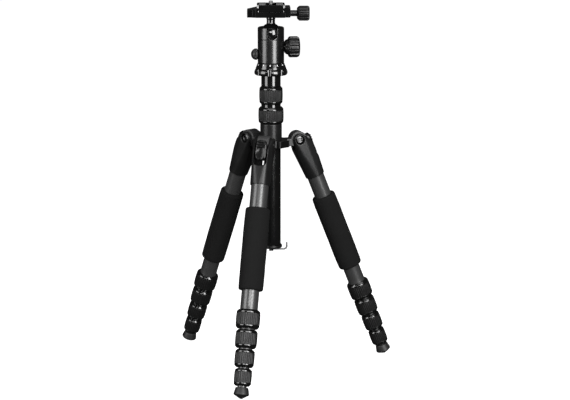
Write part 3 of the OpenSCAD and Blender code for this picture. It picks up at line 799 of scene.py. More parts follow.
# %% A sheet stretched over rounded discs
def stretched(name, discs, place, rows=90, columns=180, blend=4.0):
    """In each direction u the surface's point is a mean of the discs' furthest points.

    A disc's weight in that mean is exp(blend * its reach in the direction u).

    A disc is (centre, radius, half width, edge radius, axis), and its furthest point is the centre, plus
    the radius less the edge along u's part across the axis, plus the half width less the edge along the
    axis with u's sign, plus the edge along u.
    """
    tilt = (np.arange(rows) + 0.5) * math.pi / rows
    turn = np.arange(columns) * 2 * math.pi / columns
    tilt, turn = np.meshgrid(tilt, turn, indexing="ij")
    u = np.stack([np.sin(tilt) * np.cos(turn), np.cos(tilt), np.sin(tilt) * np.sin(turn)], -1)
    far = []
    for centre, radius, half, edge, axis in discs:
        axis = np.array(axis, float)
        along = u @ axis
        across = u - along[..., None] * axis
        across = across / np.maximum(np.linalg.norm(across, axis=-1, keepdims=True), 1e-9)
        side = np.tanh(along * 60)[..., None] * axis
        far.append(np.array(centre, float) + (radius - edge) * across + (half - edge) * side + edge * u)
    far = np.stack(far)
    reach = (far * u).sum(-1)
    weight = np.exp(blend * (reach - reach.max(0)))
    points = (far * weight[..., None]).sum(0) / weight.sum(0)[..., None]
    return shell(name, points, place, sharp=180.0)

# %% [markdown]
# ## Cutting tools and the leg castings
# On the real casting the slot, the bolt seats and the lock's recess are milled after casting. We
# make the milling tools first, a round bar and a block with a rounded outline, and then take them
# out of the stretched hood. Cutting whole shapes is easier to follow than modelling each hollow.
# A small steel catch sits low in each recess, where the sliding lock works against it.

# %% Leg castings
def bar(name, place, radius, low, high, along, sides=64, ends=0.0):
    """A round bar along a direction of a place, from low to high."""
    aside = (0, 0, 1) if abs(along[2]) < 0.5 else (1, 0, 0)
    outline = rounded([(0, low, 0), (radius, low, ends), (radius, high, ends), (0, high, 0)])
    return turned(name, outline, place.facing(aside, along), sides)


def pill(place, x_low, x_high, half, z_low, z_high, corner):
    """A block with a rounded outline in y and z, carried along x: the shape of the lock and its recess."""
    corners = [(-half, z_low, corner), (half, z_low, corner), (half, z_high, corner), (-half, z_high, corner)]
    outline = rounded(corners, ring=True, steps=12)
    x = np.array([x_low, x_high], float)[:, None]
    x, y, z = np.broadcast_arrays(x, outline[None, :, 0], outline[None, :, 1])
    return shell("cutter", np.stack([x, y, z], -1), place)


def casting(leg):
    """Hood over the lug: four discs across the pivot and two along the tube, then the cuts."""
    node, place = f"{leg}_leg_casting", leg_at[leg]
    points = points_of(node, place)
    half_w, low, high = points[:, 1].max(), points[:, 2].min(), points[:, 2].max()
    lug_half, slot_r, recess_floor, recess_end = 8.5, 12.4, 12.1, -35.2
    slot_half = lug_half + 0.4
    across, along = (0, 1, 0), (0, 0, 1)
    end_r = Turned(f"{leg}_leg_tube_1", tube_at[leg]).top_outer + 1.3
    discs = [
        ((0, 0, 0), high, half_w, 1.6, across),
        ((13.1, 0, -11), 5.6, half_w - 3.0, 3.6, across),
        ((14.2, 0, -23.5), 5.6, half_w - 3.4, 4.0, across),
        ((-7.3, 0, -15), 5.0, half_w - 3.8, 4.0, across),
        ((tube_offset, 0, -49), end_r + 0.5, 10.0, 0.8, along),
        ((tube_offset, 0, low - 4), end_r + 0.1, 2.0, 0.9, along),
    ]
    hood = recast(stretched(f"{node}_hood", discs, place), 0.9, 24)
    slot = bar("cutter", place, slot_r, -slot_half, slot_half, across)
    way = np.array([(-24.0, -slot_r), (slot_r, -slot_r), (slot_r, 30.0), (-24.0, 30.0)])
    way = extruded("cutter", way, place, -slot_half, slot_half)
    recess = pill(place, recess_floor, 40.0, lug_half + 1.5, recess_end, 12.0, 8.4)
    seats = [bar("cutter", place, 6.7, side * 11.0, side * 20.0, across) for side in (-1, 1)]
    below = bar("cutter", tube_at[leg], 30.0, low - 30, low, along)
    mouth = bar("cutter", tube_at[leg], end_r - 1.15, low - 3, low + 2.2, along)
    cut(hood, slot, way, recess, *seats, below, mouth)
    add(recast(hood, 0.4, 6), f"{leg}_upper_leg", "casting", casting_paint, node)
    # The recess's floor and walls take the near-black second paint: painted shade where the hollow is
    # shadowed.
    hood.data.materials.append(recess_painted_shade)
    spots = place.back(values_of(hood.data, "center"))
    inside = (np.abs(spots[:, 1]) < lug_half + 1.3) & (spots[:, 2] > recess_end + 0.3) & (spots[:, 2] < 2.0)
    inside &= (spots[:, 0] > 11.0) & (spots[:, 0] < 15.5)
    hood.data.polygons.foreach_set("material_index", inside.astype(np.int32))
    return hood


CATCH_SIDE = 4.6


def catch(leg):
    """The lock's bright steel catch, which shows low on the right of the recess: a rounded block."""
    tab = pill(leg_at[leg].moved(y=CATCH_SIDE), 12.4, 16.4, 0.8, -33.6, -27.4, 0.7)
    tab.name = f"{leg}_lock_catch"
    return add(tab, f"{leg}_upper_leg", "steel", catch_steel, f"{leg}_leg_casting")


for leg in LEGS:
    hood = casting(leg)
    tab = catch(leg)
print(f"three castings of {len(hood.data.polygons)} faces, three catches of {len(tab.data.polygons)}")

# %% [markdown]
# ## Angle locks
# The sliding lock sets how far a leg spreads. A thumb pulls it down, so its upper half has three
# ribs and its lower half is scooped. It is a small block seen as a height over a rounded outline:
# the height is a shallow crown, with ribs added above and a hollow taken away below.


# %% Angle locks
def angle_lock(leg):
    """Height over the outline: it falls with s^8 towards the edge, has three ribs above, a scoop below."""
    node, place = f"{leg}_leg_angle_lock", leg_at[leg]
    points = points_of(node, place)
    back, front = points[:, 0].min(), points[:, 0].max()
    half, low, high = points[:, 1].max() - 0.05, points[:, 2].min(), points[:, 2].max()
    middle, tall = (low + high) / 2, (high - low) / 2
    around = np.arange(96) * 2 * math.pi / 96
    share = np.concatenate([np.linspace(0.02, 0.9, 40), np.linspace(0.92, 1, 5)])[:, None]
    power = 2 / 3.6
    edge_y = half * np.sign(np.cos(around)) * np.abs(np.cos(around)) ** power
    edge_z = tall * np.sign(np.sin(around)) * np.abs(np.sin(around)) ** power
    y, z = share * edge_y[None], middle + share * edge_z[None]
    x = front - 1.1 - 1.6 * share**8 + 0 * y
    rib = np.clip(1 - np.abs((high - z) / 3.4 - np.round((high - z) / 3.4)) / 0.24, 0, 1)
    ribbed = (z > high - 12.2) * (z < high - 1.6)
    rib = rib * ribbed * np.clip((half - 2.0 - np.abs(y)) / 0.5, 0, 1)
    scoop = np.clip(1 - ((z - (low + 9.5)) / 9.0) ** 2 - (y / (half - 1.2)) ** 2, 0, 1)
    x = x + 1.0 * np.sqrt(rib) - 1.5 * np.sqrt(scoop)
    front_grid = np.stack([x, y, z], -1)
    rim = front_grid[-1:].copy()
    rim[..., 0] = back
    piece = shell(f"{node}_slider", np.concatenate([front_grid, rim]), place, sharp=50.0)
    # a channel in the back, open below, which takes the catch when the lock is pulled down
    cut(piece, pill(place.moved(y=CATCH_SIDE), back - 2.0, 16.8, 1.2, -40.0, -20.6, 0.9))
    return add(piece, f"{leg}_lock", "casting", lock_paint, node)


for leg in LEGS:
    slider = angle_lock(leg)
print(f"three angle locks of {len(slider.data.polygons)} faces")

# %% [markdown]
# ## The hub
# The hub, or spider, is one casting: a neck that slides on the column, three lugs for the legs and
# three flat faces between them. The CAD form is right, so a merged copy is recast in fine cells to
# give it cast edges. Its lugs get a lighter grey than the neck: painted light, a lit copy of the
# same paint for the light on the right leg's lug. The pivot bolts are turned steel, with a hexagon
# socket in each head.


# %% The hub and its bolts
hub = recast(copy_of("spider", "hub_casting"), 0.45, 4)
add(hub, "spider", "lug", hub_paint, "spider")
# The lug faces take the lighter second paint: painted light, a lit copy of the hub paint.
hub.data.materials.append(lug_painted_light)
centres = column_at.back(values_of(hub.data, "center"))
arms = JOINTS["front_leg_fold"]["pos_m"][1] - axis_y
on_lug_painted_light = (np.hypot(centres[:, 0], centres[:, 1]) > abs(arms) / MM - 13.0) & (centres[:, 2] < 14.0)
hub.data.materials.append(gloss_black)
on_flat = np.zeros(len(centres), bool)
for degrees in (-30, 90, 210):
    normal = np.array([math.cos(math.radians(degrees)), math.sin(math.radians(degrees))])
    across = centres[:, :2] @ np.array([-normal[1], normal[0]])
    low_z, high_z = centres[:, 2].min(), centres[centres[:, :2] @ normal > 27.0, 2].max()
    on_flat |= (centres[:, :2] @ normal > 27.0) & (np.abs(across) < 8.4)
on_flat &= (centres[:, 2] > low_z + 1.2) & (centres[:, 2] < high_z - 1.0)
hub.data.polygons.foreach_set("material_index", (on_lug_painted_light + 2 * on_flat).astype(np.int32))
print(f"hub of {len(hub.data.polygons)} faces")
print(f"{int(on_lug_painted_light.sum())} of them on the lugs, {int(on_flat.sum())} on the flats")


def pivot_bolt(leg):
    """Shaft with two domed heads. In each socket the radius is flat / cos(angle from a flat's middle)."""
    at = leg_at[leg].facing((1, 0, 0), (0, 1, 0))
    head_r, shaft_r, flat, reach, seat, deep = 6.3, 4.0, 2.6, 13.1, 11.1, 1.5
    half = [
        (0, reach - deep, 0), (flat, reach - deep, 0), (flat, reach - 0.25, 0.15), (flat + 0.9, reach, 0.4),
        (head_r - 1.2, reach - 0.35, 0.8), (head_r, reach - 1.2, 0.5), (head_r, seat, 0.1),
        (shaft_r, seat, 0),
    ]
    corners = [(r, -z, radius) for r, z, radius in half] + half[::-1]

    def shape(r, z, a):
        sixth = (a + math.pi / 6) % (math.pi / 3) - math.pi / 6
        socket = (r > 0.1) & (r < flat + 0.1) & (np.abs(z) > reach - deep - 0.1)
        return np.where(socket, r / np.cos(sixth), r)

    bolt = turned(f"{leg}_pivot_bolt", rounded(corners), at, 72, shape=shape, sharp=35.0)
    return add(bolt, "spider", "steel", bolt_steel, "pivot_bolts")


bolts = [pivot_bolt(leg) for leg in LEGS]
print(f"three pivot bolts of {len(bolts[0].data.polygons)} faces")

# %% [markdown]
# ## The column
# Two tubes in gloss black slide one inside the other, with a cap and a hook for a bag below and the
# disc that carries the head above. The disc has eight finger notches: each is a circle centred a
# little outside the rim, so the radius there is where a ray from the middle first meets that circle.


# %% Column tubes
def column_tube(node, body):
    """A plain tube with slightly broken ends."""
    size = Turned(node, column_at)
    corners = [(size.inner, size.high, 0.3), (size.outer, size.high, 0.4), (size.outer, size.low, 0.4)]
    corners += [(size.inner, size.low, 0.3)]
    outline = divided(rounded(corners, ring=True, steps=3), 12.0, ring=True)
    return add(turned(f"{node}_wall", outline, column_at, 96, ring=True), body, "column", column_black, node)


lower_tube = column_tube("lower_column_tube", "lower_column")
upper_tube = column_tube("upper_column_tube", "upper_column")
print("column tubes", len(lower_tube.data.polygons), len(upper_tube.data.polygons))

# %% [markdown]
# ## Mounting disc
# The disc under the head is turned from aluminium, and the finger notches are milled into its rim.
# We turn the outline and let the radius dip in the notches, so the disc stays one clean grid with no
# cuts to round over afterwards.

# %% Mounting disc
def mounting_disc():
    """Neck, disc and stud. In a notch at angle f from its middle, r = c cos f - sqrt(n^2 - c^2 sin^2 f)."""
    points = points_of("mounting_disc", column_at)
    size = Turned("mounting_disc", column_at)
    radius, z = np.hypot(points[:, 0], points[:, 1]), points[:, 2]
    neck_r = radius[z < size.low + 0.1].max()
    disc_low, disc_high = z[radius > neck_r + 0.6].min(), z[radius > size.outer - 1.9].max()
    stud_r = radius[z > size.high - 0.1].max()
    notches, centre, notch_r, start = 8, size.outer + 1.4, 3.6, math.radians(8)
    corners = [
        (0, size.low, 0), (neck_r, size.low, 0.5), (neck_r, disc_low, 0.3),
        (size.outer - 1.8, disc_low, 1.6), (size.outer, disc_low + 2.0, 1.8),
        (size.outer, disc_high - 3.6, 2.6), (size.outer - 1.9, disc_high, 0.9),
        (stud_r, disc_high, 0), (stud_r, size.high, 0.6), (0, size.high, 0),
    ]

    def shape(r, height, a):
        f = (a - start + math.pi / notches) % (2 * math.pi / notches) - math.pi / notches
        inside = np.maximum(notch_r**2 - (centre * np.sin(f)) ** 2, 0)
        notch = np.where(inside > 0, centre * np.cos(f) - np.sqrt(inside), size.outer)
        return np.where((height < disc_low - 0.1) | (r < neck_r), r, np.minimum(r, notch))

    outline = divided(rounded(corners, steps=7), 1.2)
    disc = turned("mounting_disc_turned", outline, column_at, 480, shape=shape, sharp=40.0)
    return add(disc, "upper_column", "head", gloss_black, "mounting_disc")


disc = mounting_disc()
print(f"mounting disc of {len(disc.data.polygons)} faces")

# %% [markdown]
# ## End cap and weight hook
# The cap closes the column's foot. The hook is bent from round wire, which is a circle carried along
# a path: at each step the circle lies square to the path. Its end is rounded over.


# %% End cap and hook
def swept(name, path, radius, place, sides=20):
    """Round wire: points path + r (side cos a + up sin a), with side square to the path's own plane."""
    ahead = np.gradient(path, axis=0)
    ahead = ahead / np.linalg.norm(ahead, axis=1, keepdims=True)
    side = np.array([0.0, 1.0, 0.0])
    up = np.cross(ahead, side)
    a = np.arange(sides) * 2 * math.pi / sides
    ring = side * np.cos(a)[None, :, None] + up[:, None] * np.sin(a)[None, :, None]
    return shell(name, path[:, None] + np.asarray(radius).reshape(-1, 1, 1) * ring, place)


def weight_hook():
    """Wire from the pin outwards, round a bend and up, ending in a half round tip."""
    points = points_of("weight_hook", hook_at)
    wire, bend = 1.4, 3.0
    tip_x, tip_z = points[:, 0].max() - wire, points[:, 2].max() - wire
    corners = [(0, 0, 0), (tip_x, 0, bend * 1.6), (tip_x, tip_z, 0)]
    path = divided(rounded(corners, steps=14), 1.5)
    over = np.linspace(0, 1, 7)[1:]
    tip = np.stack([tip_x + 0 * over, tip_z + wire * np.sin(over * math.pi / 2)], -1)
    radius = np.concatenate([np.full(len(path), wire), wire * np.cos(over * math.pi / 2) + 1e-4])
    path = np.concatenate([path, tip])
    path = np.stack([path[:, 0], 0 * path[:, 0], path[:, 1]], -1)
    hook = swept("weight_hook_wire", path, radius, hook_at)
    pin = bar("weight_hook_pin", hook_at, 1.15, -4.2, 4.2, (0, 1, 0), 24, 0.2)
    eye = bar("weight_hook_eye", hook_at, 2.1, -2.0, 2.0, (0, 1, 0), 32, 0.4)
    for piece in (hook, pin, eye):
        add(piece, "hook", "steel", hook_steel, "weight_hook")
    return hook


cap = bevelled(dissolved(copy_of("end_cap", "end_cap_moulded")), 0.3)
add(cap, "lower_column", "rubber", knob_rubber, "end_cap")
hook = weight_hook()
print(f"cap of {len(cap.data.polygons)} faces, hook of {len(hook.data.polygons)}")

# %% [markdown]
# ## The head's body
# The ball sits in a turned cup with a notch on one side, which lets the stem drop to level. The body
# is turned with a fine parting line under the notch. The cuts are made on the dense turned mesh
# and then bevelled, so that the notch has the bright rim of a machined edge.


# %% The head's body and pan base
BALL_R = 15.0
SPIGOT_HIGH = 16.4
MAIN_KNOB_HIGH, PAN_KNOB_HIGH = 22.1, 12.2
GRIP_START = 19.4


def head_body():
    """Turned cylinder with a parting line, less the ball's seat, the notch and two shaft holes."""
    size = Turned("head_body", head_at)
    centre_z = head_at.back(np.array(JOINTS["ball_tilt"]["pos_m"]))[2]
    r, seat = size.outer, BALL_R + 0.3
    line, well_low, notch_half = 33.6, 18.5, 7.5
    corners = [
        (0, size.low, 0), (r - 0.1, size.low, 0.3), (r, size.low + 0.4, 0.3), (r, line - 0.3, 0),
        (r - 0.35, line - 0.1, 0), (r - 0.35, line + 0.1, 0), (r, line + 0.3, 0),
        (r, size.high - 1.5, 0.9), (r - 1.7, size.high, 0.9), (0, size.high, 0),
    ]
    body = turned("head_body_turned", divided(rounded(corners), 2.0), head_at, 128)
    well = rounded([
        (0, well_low, 0), (seat, well_low, 0), (seat, centre_z, 0), (seat - 1.3, size.high + 3, 0),
    ])
    well = np.concatenate([well, [[0, size.high + 3]]])
    well = turned("cutter", well, head_at, 128)
    spigot = bar("cutter", head_at, 12.0, -2.0, SPIGOT_HIGH, (0, 0, 1), 96)
    drop = centre_z - 0.6
    arc = np.linspace(math.pi, 2 * math.pi, 33)
    notch = np.stack([notch_half * np.cos(arc), drop + notch_half * np.sin(arc)], -1)
    notch = np.concatenate([notch, [[notch_half, size.high + 5], [-notch_half, size.high + 5]]])
    notch = extruded("cutter", notch, head_at, -40.0, -1.0)
    knob_hole = bar("cutter", head_at.moved(z=MAIN_KNOB_HIGH), 4.05, 13.0, 30.0, (1, 0, 0))
    pan_hole = bar("cutter", head_at.moved(z=PAN_KNOB_HIGH), 2.55, 8.0, 30.0, (-1, 0, 0))
    cut(body, well, spigot, notch, knob_hole, pan_hole)
    return add(bevelled(body, 0.32, 40.0, 2, 0.06), "head", "head", body_black, "head_body")


def scale_black(name, low, high, marks, start, half_width):
    """Gloss black with white triangles round a cone, each mark's width shrinking towards its upper point.

    With t the share of the height between low and high and w the distance round the cone from the
    nearest mark's middle, a point is white where 0 < t < 1 and w < half_width * (1 - t).
    """
    finish = Finish(name, IOR=1.7)
    split = finish.node("ShaderNodeSeparateXYZ", inputs=[finish.place()])
    x, y, z = [Wire(finish, split.socket.node.outputs[n]) for n in range(3)]
    turn = (y - axis_y).math("ARCTAN2", x) / (2 * math.pi) * marks - start
    radius = (x * x + (y - axis_y) * (y - axis_y)).math("SQRT")
    around = (turn.fraction() - 0.5).away() * radius * (2 * math.pi / marks)
    share = (z - low) / (high - low)
    mark = (share > 0) * (share < 1) * (around < (1 - share) * half_width)
    finish.feed(
        Base_Color=finish.blend(mark, 0.003, 0.75),
        Roughness=mark * 0.3 + finish.noise(45.0) * 0.1 + 0.08,
        Normal=finish.bump(finish.noise(1900.0, 2.0), 0.05, 0.02),
    )
    return finish.material


def pan_base():
    """Cone between the disc and the body, with a spigot inside the body and a bore for the stud."""
    size = Turned("pan_base", column_at)
    step = size.high - (SPIGOT_HIGH - 1.0)
    top_r = Turned("head_body", head_at).outer
    corners = [
        (4.8, size.low, 0), (size.outer, size.low, 0.5), (size.outer, size.low + 1.0, 0.4),
        (top_r, step - 0.3, 0.3), (top_r - 0.8, step - 0.2, 0), (11.95, step - 0.2, 0.2),
        (11.95, size.high, 0.4), (4.8, size.high, 0),
    ]
    outline = divided(rounded(corners, ring=True), 1.5, ring=True)
    base = turned("pan_base_turned", outline, column_at, 128, ring=True)
    scale_low, scale_high = pivot_z + (step - 3.4) * MM, pivot_z + (step - 1.2) * MM
    scale = scale_black("scale_black", scale_low, scale_high, 12, 0.85, 0.0010)
    return add(base, "upper_column", "head", scale, "pan_base")


head = head_body()
base = pan_base()
print(f"head body of {len(head.data.polygons)} faces, base of {len(base.data.polygons)}")

# %% [markdown]
# ## Ball, stem and cup
# The ball and its stem are one turned piece, with a waist where the stem leaves the ball. Under it a
# nylon cup presses up when the main knob is turned. The cup is hidden, but it is there when the
# model is taken apart.


# %% Ball, stem and cup
def ball_and_stem():
    """Arc of the ball up to the stem, then the stem with a narrow waist."""
    size = Turned("ball", clamp_at)
    r, stem = size.outer, 6.5
    join = math.asin(stem / r)
    arc = np.linspace(math.pi, join, 60)
    sphere = np.stack([r * np.sin(arc), r * np.cos(arc)], -1)
    foot_z = r * math.cos(join)
    neck = rounded([
        (stem, foot_z, 0), (stem - 0.5, foot_z + 1.4, 0.8),
        (stem - 0.5, size.high - 8.0, 0.8), (stem, size.high - 7.0, 0.4), (stem, size.high - 5.1, 0),
        (size.top_outer, size.high - 5.1, 0), (size.top_outer, size.high, 0), (0, size.high, 0),
    ])
    outline = np.concatenate([sphere, neck[1:]])
    outline[0, 0] = 0
    return add(turned("ball_and_stem", outline, clamp_at, 96), "ball", "head", gloss_black, "ball")


ball = ball_and_stem()
cup = bevelled(dissolved(copy_of("ball_cup", "ball_cup_nylon"), 1.0), 0.2)
add(cup, "head", "cup", cup_nylon, "ball_cup")
print(f"ball of {len(ball.data.polygons)} faces, cup of {len(cup.data.polygons)}")

# %% [markdown]
# ## Knobs
# The main knob has broad flutes for fingers, the clamp knob has narrow ones, and the pan knob is a
# small dome with a coin-like edge. All three are turned outlines whose radius is pushed in along
# the grip by a pattern in the angle. The flutes fade out before the ends.


# %% Knobs
def flutes(count, depth, low, high, fade, sharp=1.0):
    """Pushes the radius in by depth times a wave, between two heights, fading out over a length."""

    def shape(r, z, a):
        inside = np.clip((z - low) / fade, 0, 1) * np.clip((high - z) / fade, 0, 1)
        wave = np.clip(1 - np.abs(np.sin(count * a / 2)) * sharp, 0, 1)
        return r - depth * inside * wave * (r > 1)

    return shape


def main_knob():
    """Shaft, lobed neck and fluted grip."""
    at = head_at.moved(z=MAIN_KNOB_HIGH).facing((0, 0, 1), (1, 0, 0))
    size = Turned("main_knob", at)
    r, end = size.outer, size.high
    grip = end - 16.0
    corners = [
        (0, size.low, 0), (3.95, size.low, 0.3), (3.95, GRIP_START, 0), (8, GRIP_START, 0.4),
        (10.4, GRIP_START + 2.0, 0.8),
        (11.6, grip - 0.1, 0.5), (r - 1.8, grip, 0.4), (r, grip + 1.8, 0.9), (r, end - 2.4, 1.6),
        (r - 2.4, end, 1.2), (r - 5.5, end, 0.4), (r - 6.0, end - 0.5, 0.2), (0, end - 0.5, 0),
    ]
    grooves = flutes(14, 1.5, grip + 0.4, end - 0.6, 1.2, 2.2)
    lobes = flutes(8, 0.9, GRIP_START + 0.4, grip - 0.3, 0.6, 1.2)

    def shape(r, z, a):
        return lobes(grooves(r, z, a), z, a)

    outline = divided(rounded(corners), 0.9)
    knob = turned("main_knob_fluted", outline, at, 312, shape=shape, sharp=45.0)
    return add(knob, "main_knob", "knob", knob_rubber, "main_knob")


def pan_knob():
    """A dome with a knurled edge on a thin shaft."""
    at = head_at.moved(z=PAN_KNOB_HIGH).facing((0, 0, 1), (-1, 0, 0))
    size = Turned("pan_knob", at)
    r, low = size.outer, GRIP_START
    corners = [
        (0, size.low, 0), (2.45, size.low, 0.2), (2.45, low, 0), (r - 0.9, low, 0.3), (r, low + 0.9, 0.3),
        (r, low + 4, 1.0), (r - 2.2, low + 7.4, 2.4), (r - 5.6, size.high, 1.8), (0, size.high, 0),
    ]
    knurl = flutes(22, 0.45, low + 0.5, low + 7.0, 1.0, 1.4)
    knob = turned("pan_knob_domed", divided(rounded(corners, steps=7), 0.7), at, 176, shape=knurl, sharp=45.0)
    return add(knob, "pan_knob", "knob", knob_rubber, "pan_knob")


def clamp_knob():
    """Screw rod, shaft and fluted grip."""
    axis_z = clamp_at.back(np.array(JOINTS["clamp_knob_turn"]["pos_m"]))[2]
    at = clamp_at.moved(z=axis_z).facing((0, 0, 1), (1, 0, 0))
    size = Turned("clamp_knob", at)
    r, end = size.outer, size.high
    grip, shaft = end - 18.2, end - 27.4
    corners = [
        (0, size.low, 0), (2.4, size.low, 0.3), (2.4, shaft, 0), (4.35, shaft, 0.3), (4.35, grip, 0.2),
        (r - 3.2, grip, 0.5), (r, grip + 3.0, 1.4), (r, end - 2.0, 1.4), (r - 2.0, end, 1.2),
        (r - 4.5, end, 0.4), (r - 5.0, end - 0.4, 0.2), (0, end - 0.4, 0),
    ]
    grooves = flutes(18, 0.9, grip + 1.6, end - 0.8, 1.4, 1.8)
    knob = turned("clamp_knob_fluted", divided(rounded(corners), 0.9), at, 288, shape=grooves, sharp=45.0)
    return add(knob, "clamp_knob", "knob", knob_rubber, "clamp_knob")


for knob in (main_knob(), pan_knob(), clamp_knob()):
    print(knob.name, len(knob.data.polygons))

# %% [markdown]
# ## Clamp and jaw
# The clamp is milled from bar: one outline across the dovetail, carried along it. Seen from above,
# its fixed end steps inwards, so a second outline is carried upwards and only what both share is
# kept. The CAD model holds the full block, so these steps stay inside it.


# %% Clamp and jaw
def plan(place, corners, low, high):
    """An outline of (x, y) corners carried up z from low to high."""
    outline = rounded(corners, ring=True, steps=6)
    z = np.array([low, high], float)[:, None]
    x, y, z = np.broadcast_arrays(outline[None, :, 0], outline[None, :, 1], z)
    return shell("cutter", np.stack([x, y, z], -1), place)


def milled(node, name):
    """A merged copy of a CAD node, with its flat faces joined."""
    return dissolved(copy_of(node, name), 1.0)


def clamp():
    """Milled block, stepped at the fixed end."""
    points = points_of("plate_clamp", clamp_at)
    (x0, y0, z0), (x1, y1, z1) = points.min(0), points.max(0)
    step, deep = 4.7, 2.4
    corners = [
        (x0, y0 + 2 * deep + 1, 1.4), (x0 + 1.6 * step, y0 + 2 * deep, 0.4),
        (x0 + 1.65 * step, y0 + deep, 0.4),
        (x0 + 2.6 * step, y0 + deep, 0.4), (x0 + 2.65 * step, y0 - 1, 0), (x1 + 1, y0 - 1, 0),
        (x1 + 1, y1 + 1, 0), (x0 + 2.65 * step, y1 + 1, 0), (x0 + 2.6 * step, y1 - deep, 0.4),
        (x0 + 1.65 * step, y1 - deep, 0.4), (x0 + 1.6 * step, y1 - 2 * deep, 0.4),
        (x0, y1 - 2 * deep - 1, 1.4),
    ]
    block = milled("plate_clamp", "plate_clamp_milled")
    cut(block, plan(clamp_at, corners, z0 - 2, z1 + 2), keep=True)
    return add(bevelled(dissolved(block, 1.0), 0.35), "clamp", "head", clamp_black, "plate_clamp")


clamp_block = clamp()
jaw = add(bevelled(milled("clamp_jaw", "clamp_jaw_milled"), 0.4), "jaw", "head", clamp_black, "clamp_jaw")
print(f"clamp of {len(clamp_block.data.polygons)} faces, jaw of {len(jaw.data.polygons)}")

# %% [markdown]
# ## Release plate, pads and camera screw
# The plate's corners are cut at an angle after the plate is anodised, so they show bare aluminium.
# Two ribbed rubber strips keep the camera from turning. The screw is the standard quarter inch
# thread: its radius rises and falls with height minus turn, which is a helix.


# %% Release plate
def release_plate():
    """CAD plate with its four upright corners cut off, and the cut faces left bare."""
    points = points_of("release_plate", clamp_at)
    (x0, y0, z0), (x1, y1, z1) = points.min(0), points.max(0)
    chamfer = 2.6
    corners = [
        (x0 - 0.1, y0 + chamfer, 0), (x0 + chamfer, y0 - 0.1, 0), (x1 - chamfer, y0 - 0.1, 0),
        (x1 + 0.1, y0 + chamfer, 0), (x1 + 0.1, y1 - chamfer, 0), (x1 - chamfer, y1 + 0.1, 0),
        (x0 + chamfer, y1 + 0.1, 0), (x0 - 0.1, y1 - chamfer, 0),
    ]
    plate = milled("release_plate", "release_plate_milled")
    cut(plate, plan(clamp_at, corners, z0 - 2, z1 + 2), keep=True)
    add(bevelled(dissolved(plate, 1.0), 0.25), "plate", "head", clamp_black, "release_plate")
    plate.data.materials.append(cut_aluminium)
    local = values_of(plate.data, "normal") @ clamp_at.axes.T
    slanted = (np.abs(local[:, 0]) > 0.5) & (np.abs(local[:, 1]) > 0.5) & (np.abs(local[:, 2]) < 0.2)
    plate.data.polygons.foreach_set("material_index", slanted.astype(np.int32))
    return plate, int(slanted.sum())


plate, bare = release_plate()
print(f"plate of {len(plate.data.polygons)} faces, {bare} of them bare")

# %% [markdown]
# ## Pads and camera screw
# The rubber strips are moulded with fine ribs, which are a wave along the strip's length. The screw
# is cut on a lathe: one turn round it lifts the thread by its pitch, so the height of a tooth is a
# triangle wave of the height along the screw less the share of a turn.

# %% Pads and camera screw
def pad(side):
    """A strip whose top is a wave along its length: ribs across the strip."""
    points = points_of("plate_pads", clamp_at)
    points = points[points[:, 0] * side > 0]
    (x0, y0, z0), (x1, y1, z1) = points.min(0), points.max(0)
    y = np.linspace(y0, y1, 160)
    wave = 0.16 * (0.5 + 0.5 * np.cos((y - y0) * 2 * math.pi / 1.9))
    soft = 0.5
    top = np.minimum(z1 - wave, z1 - soft + np.sqrt(np.clip(np.minimum(y - y0, y1 - y) / soft, 0, 1)) * soft)
    x = np.array([x0, x0, x0 + 0.5, x1 - 0.5, x1, x1])
    z = np.stack([np.full(160, z0), top - 0.4, top, top, top - 0.4, np.full(160, z0)], -1)
    grid = np.stack([np.broadcast_to(x, (160, 6)), np.broadcast_to(y[:, None], (160, 6)), z], -1)
    name = "plate_pad_right" if side > 0 else "plate_pad_left"
    return add(shell(name, grid, clamp_at, sharp=40.0), "plate", "rubber", pad_rubber, "plate_pads")


def camera_screw():
    """Head and shoulder in the plate, and above it a thread: r - depth * triangle(height / pitch - turn)."""
    size = Turned("camera_screw", clamp_at)
    points = points_of("camera_screw", clamp_at)
    radius, z = np.hypot(points[:, 0], points[:, 1]), points[:, 2]
    thread_r, pitch, depth = 3.175, 1.27, 0.45
    head_r = radius.max()
    head_top = z[radius > head_r - 0.05].max()
    shoulder = (radius > thread_r + 0.3) & (radius < head_r - 0.3)
    shoulder_r, shoulder_top = radius[shoulder].max() - 0.05, z[shoulder].max()
    corners = [
        (0, size.low, 0), (head_r - 0.05, size.low, 0.4), (head_r - 0.05, head_top - 0.05, 0.3),
        (shoulder_r, head_top - 0.05, 0.2), (shoulder_r, shoulder_top, 0.2), (thread_r, shoulder_top, 0),
        (thread_r, size.high - 0.5, 0.2),
        (thread_r - 0.6, size.high, 0.2), (0, size.high, 0),
    ]

    def shape(r, height, a):
        turn = (height / pitch - a / (2 * math.pi)) % 1.0
        tooth = np.abs(2 * turn - 1)
        cutting = (height > shoulder_top + 0.2) & (r > thread_r - 0.7)
        return r - cutting * depth * tooth

    outline = divided(rounded(corners), 0.12)
    screw = turned("camera_screw_threaded", outline, clamp_at, 64, shape=shape, sharp=60.0)
    return add(screw, "screw", "steel", screw_steel, "camera_screw")


pads = [pad(side) for side in (-1, 1)]
screw = camera_screw()
print(f"pads of {len(pads[0].data.polygons)} faces, screw of {len(screw.data.polygons)}")

# %% [markdown]
# ## The floor and the light
# A product on white is lit by large soft boxes: one on the left for a long edge light, a brighter one
# nearer the camera on the right, a weak one above, and one over the camera for the front leg alone,
# whose lean turns it up to that height. Black things show only what they reflect,
# so the boxes are placed by the stripes they draw on the round head. The floor is plain
# white, and neither it nor the surroundings may shine back into the black paint.

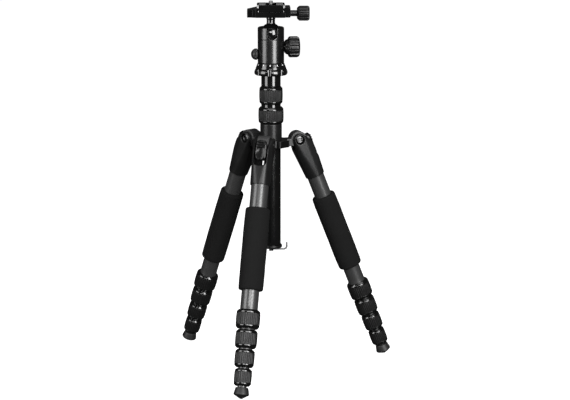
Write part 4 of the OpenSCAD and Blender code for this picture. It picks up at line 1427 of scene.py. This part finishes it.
# %% The floor and the surroundings
floor_mesh = bpy.data.meshes.new("floor")
reach = 30.0
floor_corners = [(-reach, -reach, 0), (reach, -reach, 0), (reach, reach, 0), (-reach, reach, 0)]
floor_mesh.from_pydata(floor_corners, [], [(0, 1, 2, 3)])
floor = put("floor", floor_mesh)
floor_finish = Finish("floor", Roughness=1.0, Base_Color=(0.7, 0.7, 0.7, 1), Emission_Color=(1, 1, 1, 1))
floor_finish.shader.inputs["Specular IOR Level"].default_value = 0.0
floor_finish.shader.inputs["Emission Strength"].default_value = 1.0
floor_mesh.materials.append(floor_finish.material)
floor.visible_glossy = False
floor.visible_diffuse = False

scene = bpy.context.scene
scene.view_settings.view_transform = "Standard"
scene.world = bpy.data.worlds.new("surroundings")
scene.world.use_nodes = True
sky = scene.world.node_tree
background = sky.nodes["Background"]
white = sky.nodes.new("ShaderNodeBackground")
background.inputs["Color"].default_value = (1, 1, 1, 1)
background.inputs["Strength"].default_value = 0.035
white.inputs["Strength"].default_value = 1.0
mix = sky.nodes.new("ShaderNodeMixShader")
rays = sky.nodes.new("ShaderNodeLightPath")
sky.links.new(rays.outputs["Is Camera Ray"], mix.inputs[0])
sky.links.new(background.outputs[0], mix.inputs[1])
sky.links.new(white.outputs[0], mix.inputs[2])
sky.links.new(mix.outputs[0], sky.nodes["World Output"].inputs[0])
print("floor and surroundings ready")

# %% [markdown]
# ## Soft boxes
# Each soft box is an evenly bright rectangle that faces the column. Its angle is counted from the
# camera's direction, because what a black surface shows depends on where the camera stands, and its
# size sets how wide a stripe it draws on a round tube.

# %% Soft boxes
def soft_box(name, from_camera, away, height, wide, tall, power):
    """A rectangular light at an angle from the camera's direction, turned to the column."""
    light = bpy.data.lights.new(name, "AREA")
    light.shape, light.size, light.size_y, light.energy = "RECTANGLE", wide, tall, power
    box = bpy.data.objects.new(name, light)
    round_axis = math.radians(from_camera) + CAMERA_ROUND
    box.location = (away * math.sin(round_axis), axis_y - away * math.cos(round_axis), height)
    toward = np.array([0, axis_y, 0.42]) - np.array(box.location)
    box.rotation_euler = (math.atan2(math.hypot(toward[0], toward[1]), -toward[2]), 0, round_axis)
    box.visible_camera = False
    scene.collection.objects.link(box)
    return box


lights = [
    soft_box("left_box", -58.0, 1.9, 0.86, 1.10, 1.66, 30.0),
    soft_box("right_box", 32.0, 1.9, 0.86, 0.90, 1.66, 54.0),
    soft_box("top_box", 0.0, 0.6, 2.2, 1.6, 1.0, 10.0),
    soft_box("front_box", 0.0, 2.6, 1.30, 1.30, 0.50, 26.0),
]
print(f"{len(lights)} soft boxes")
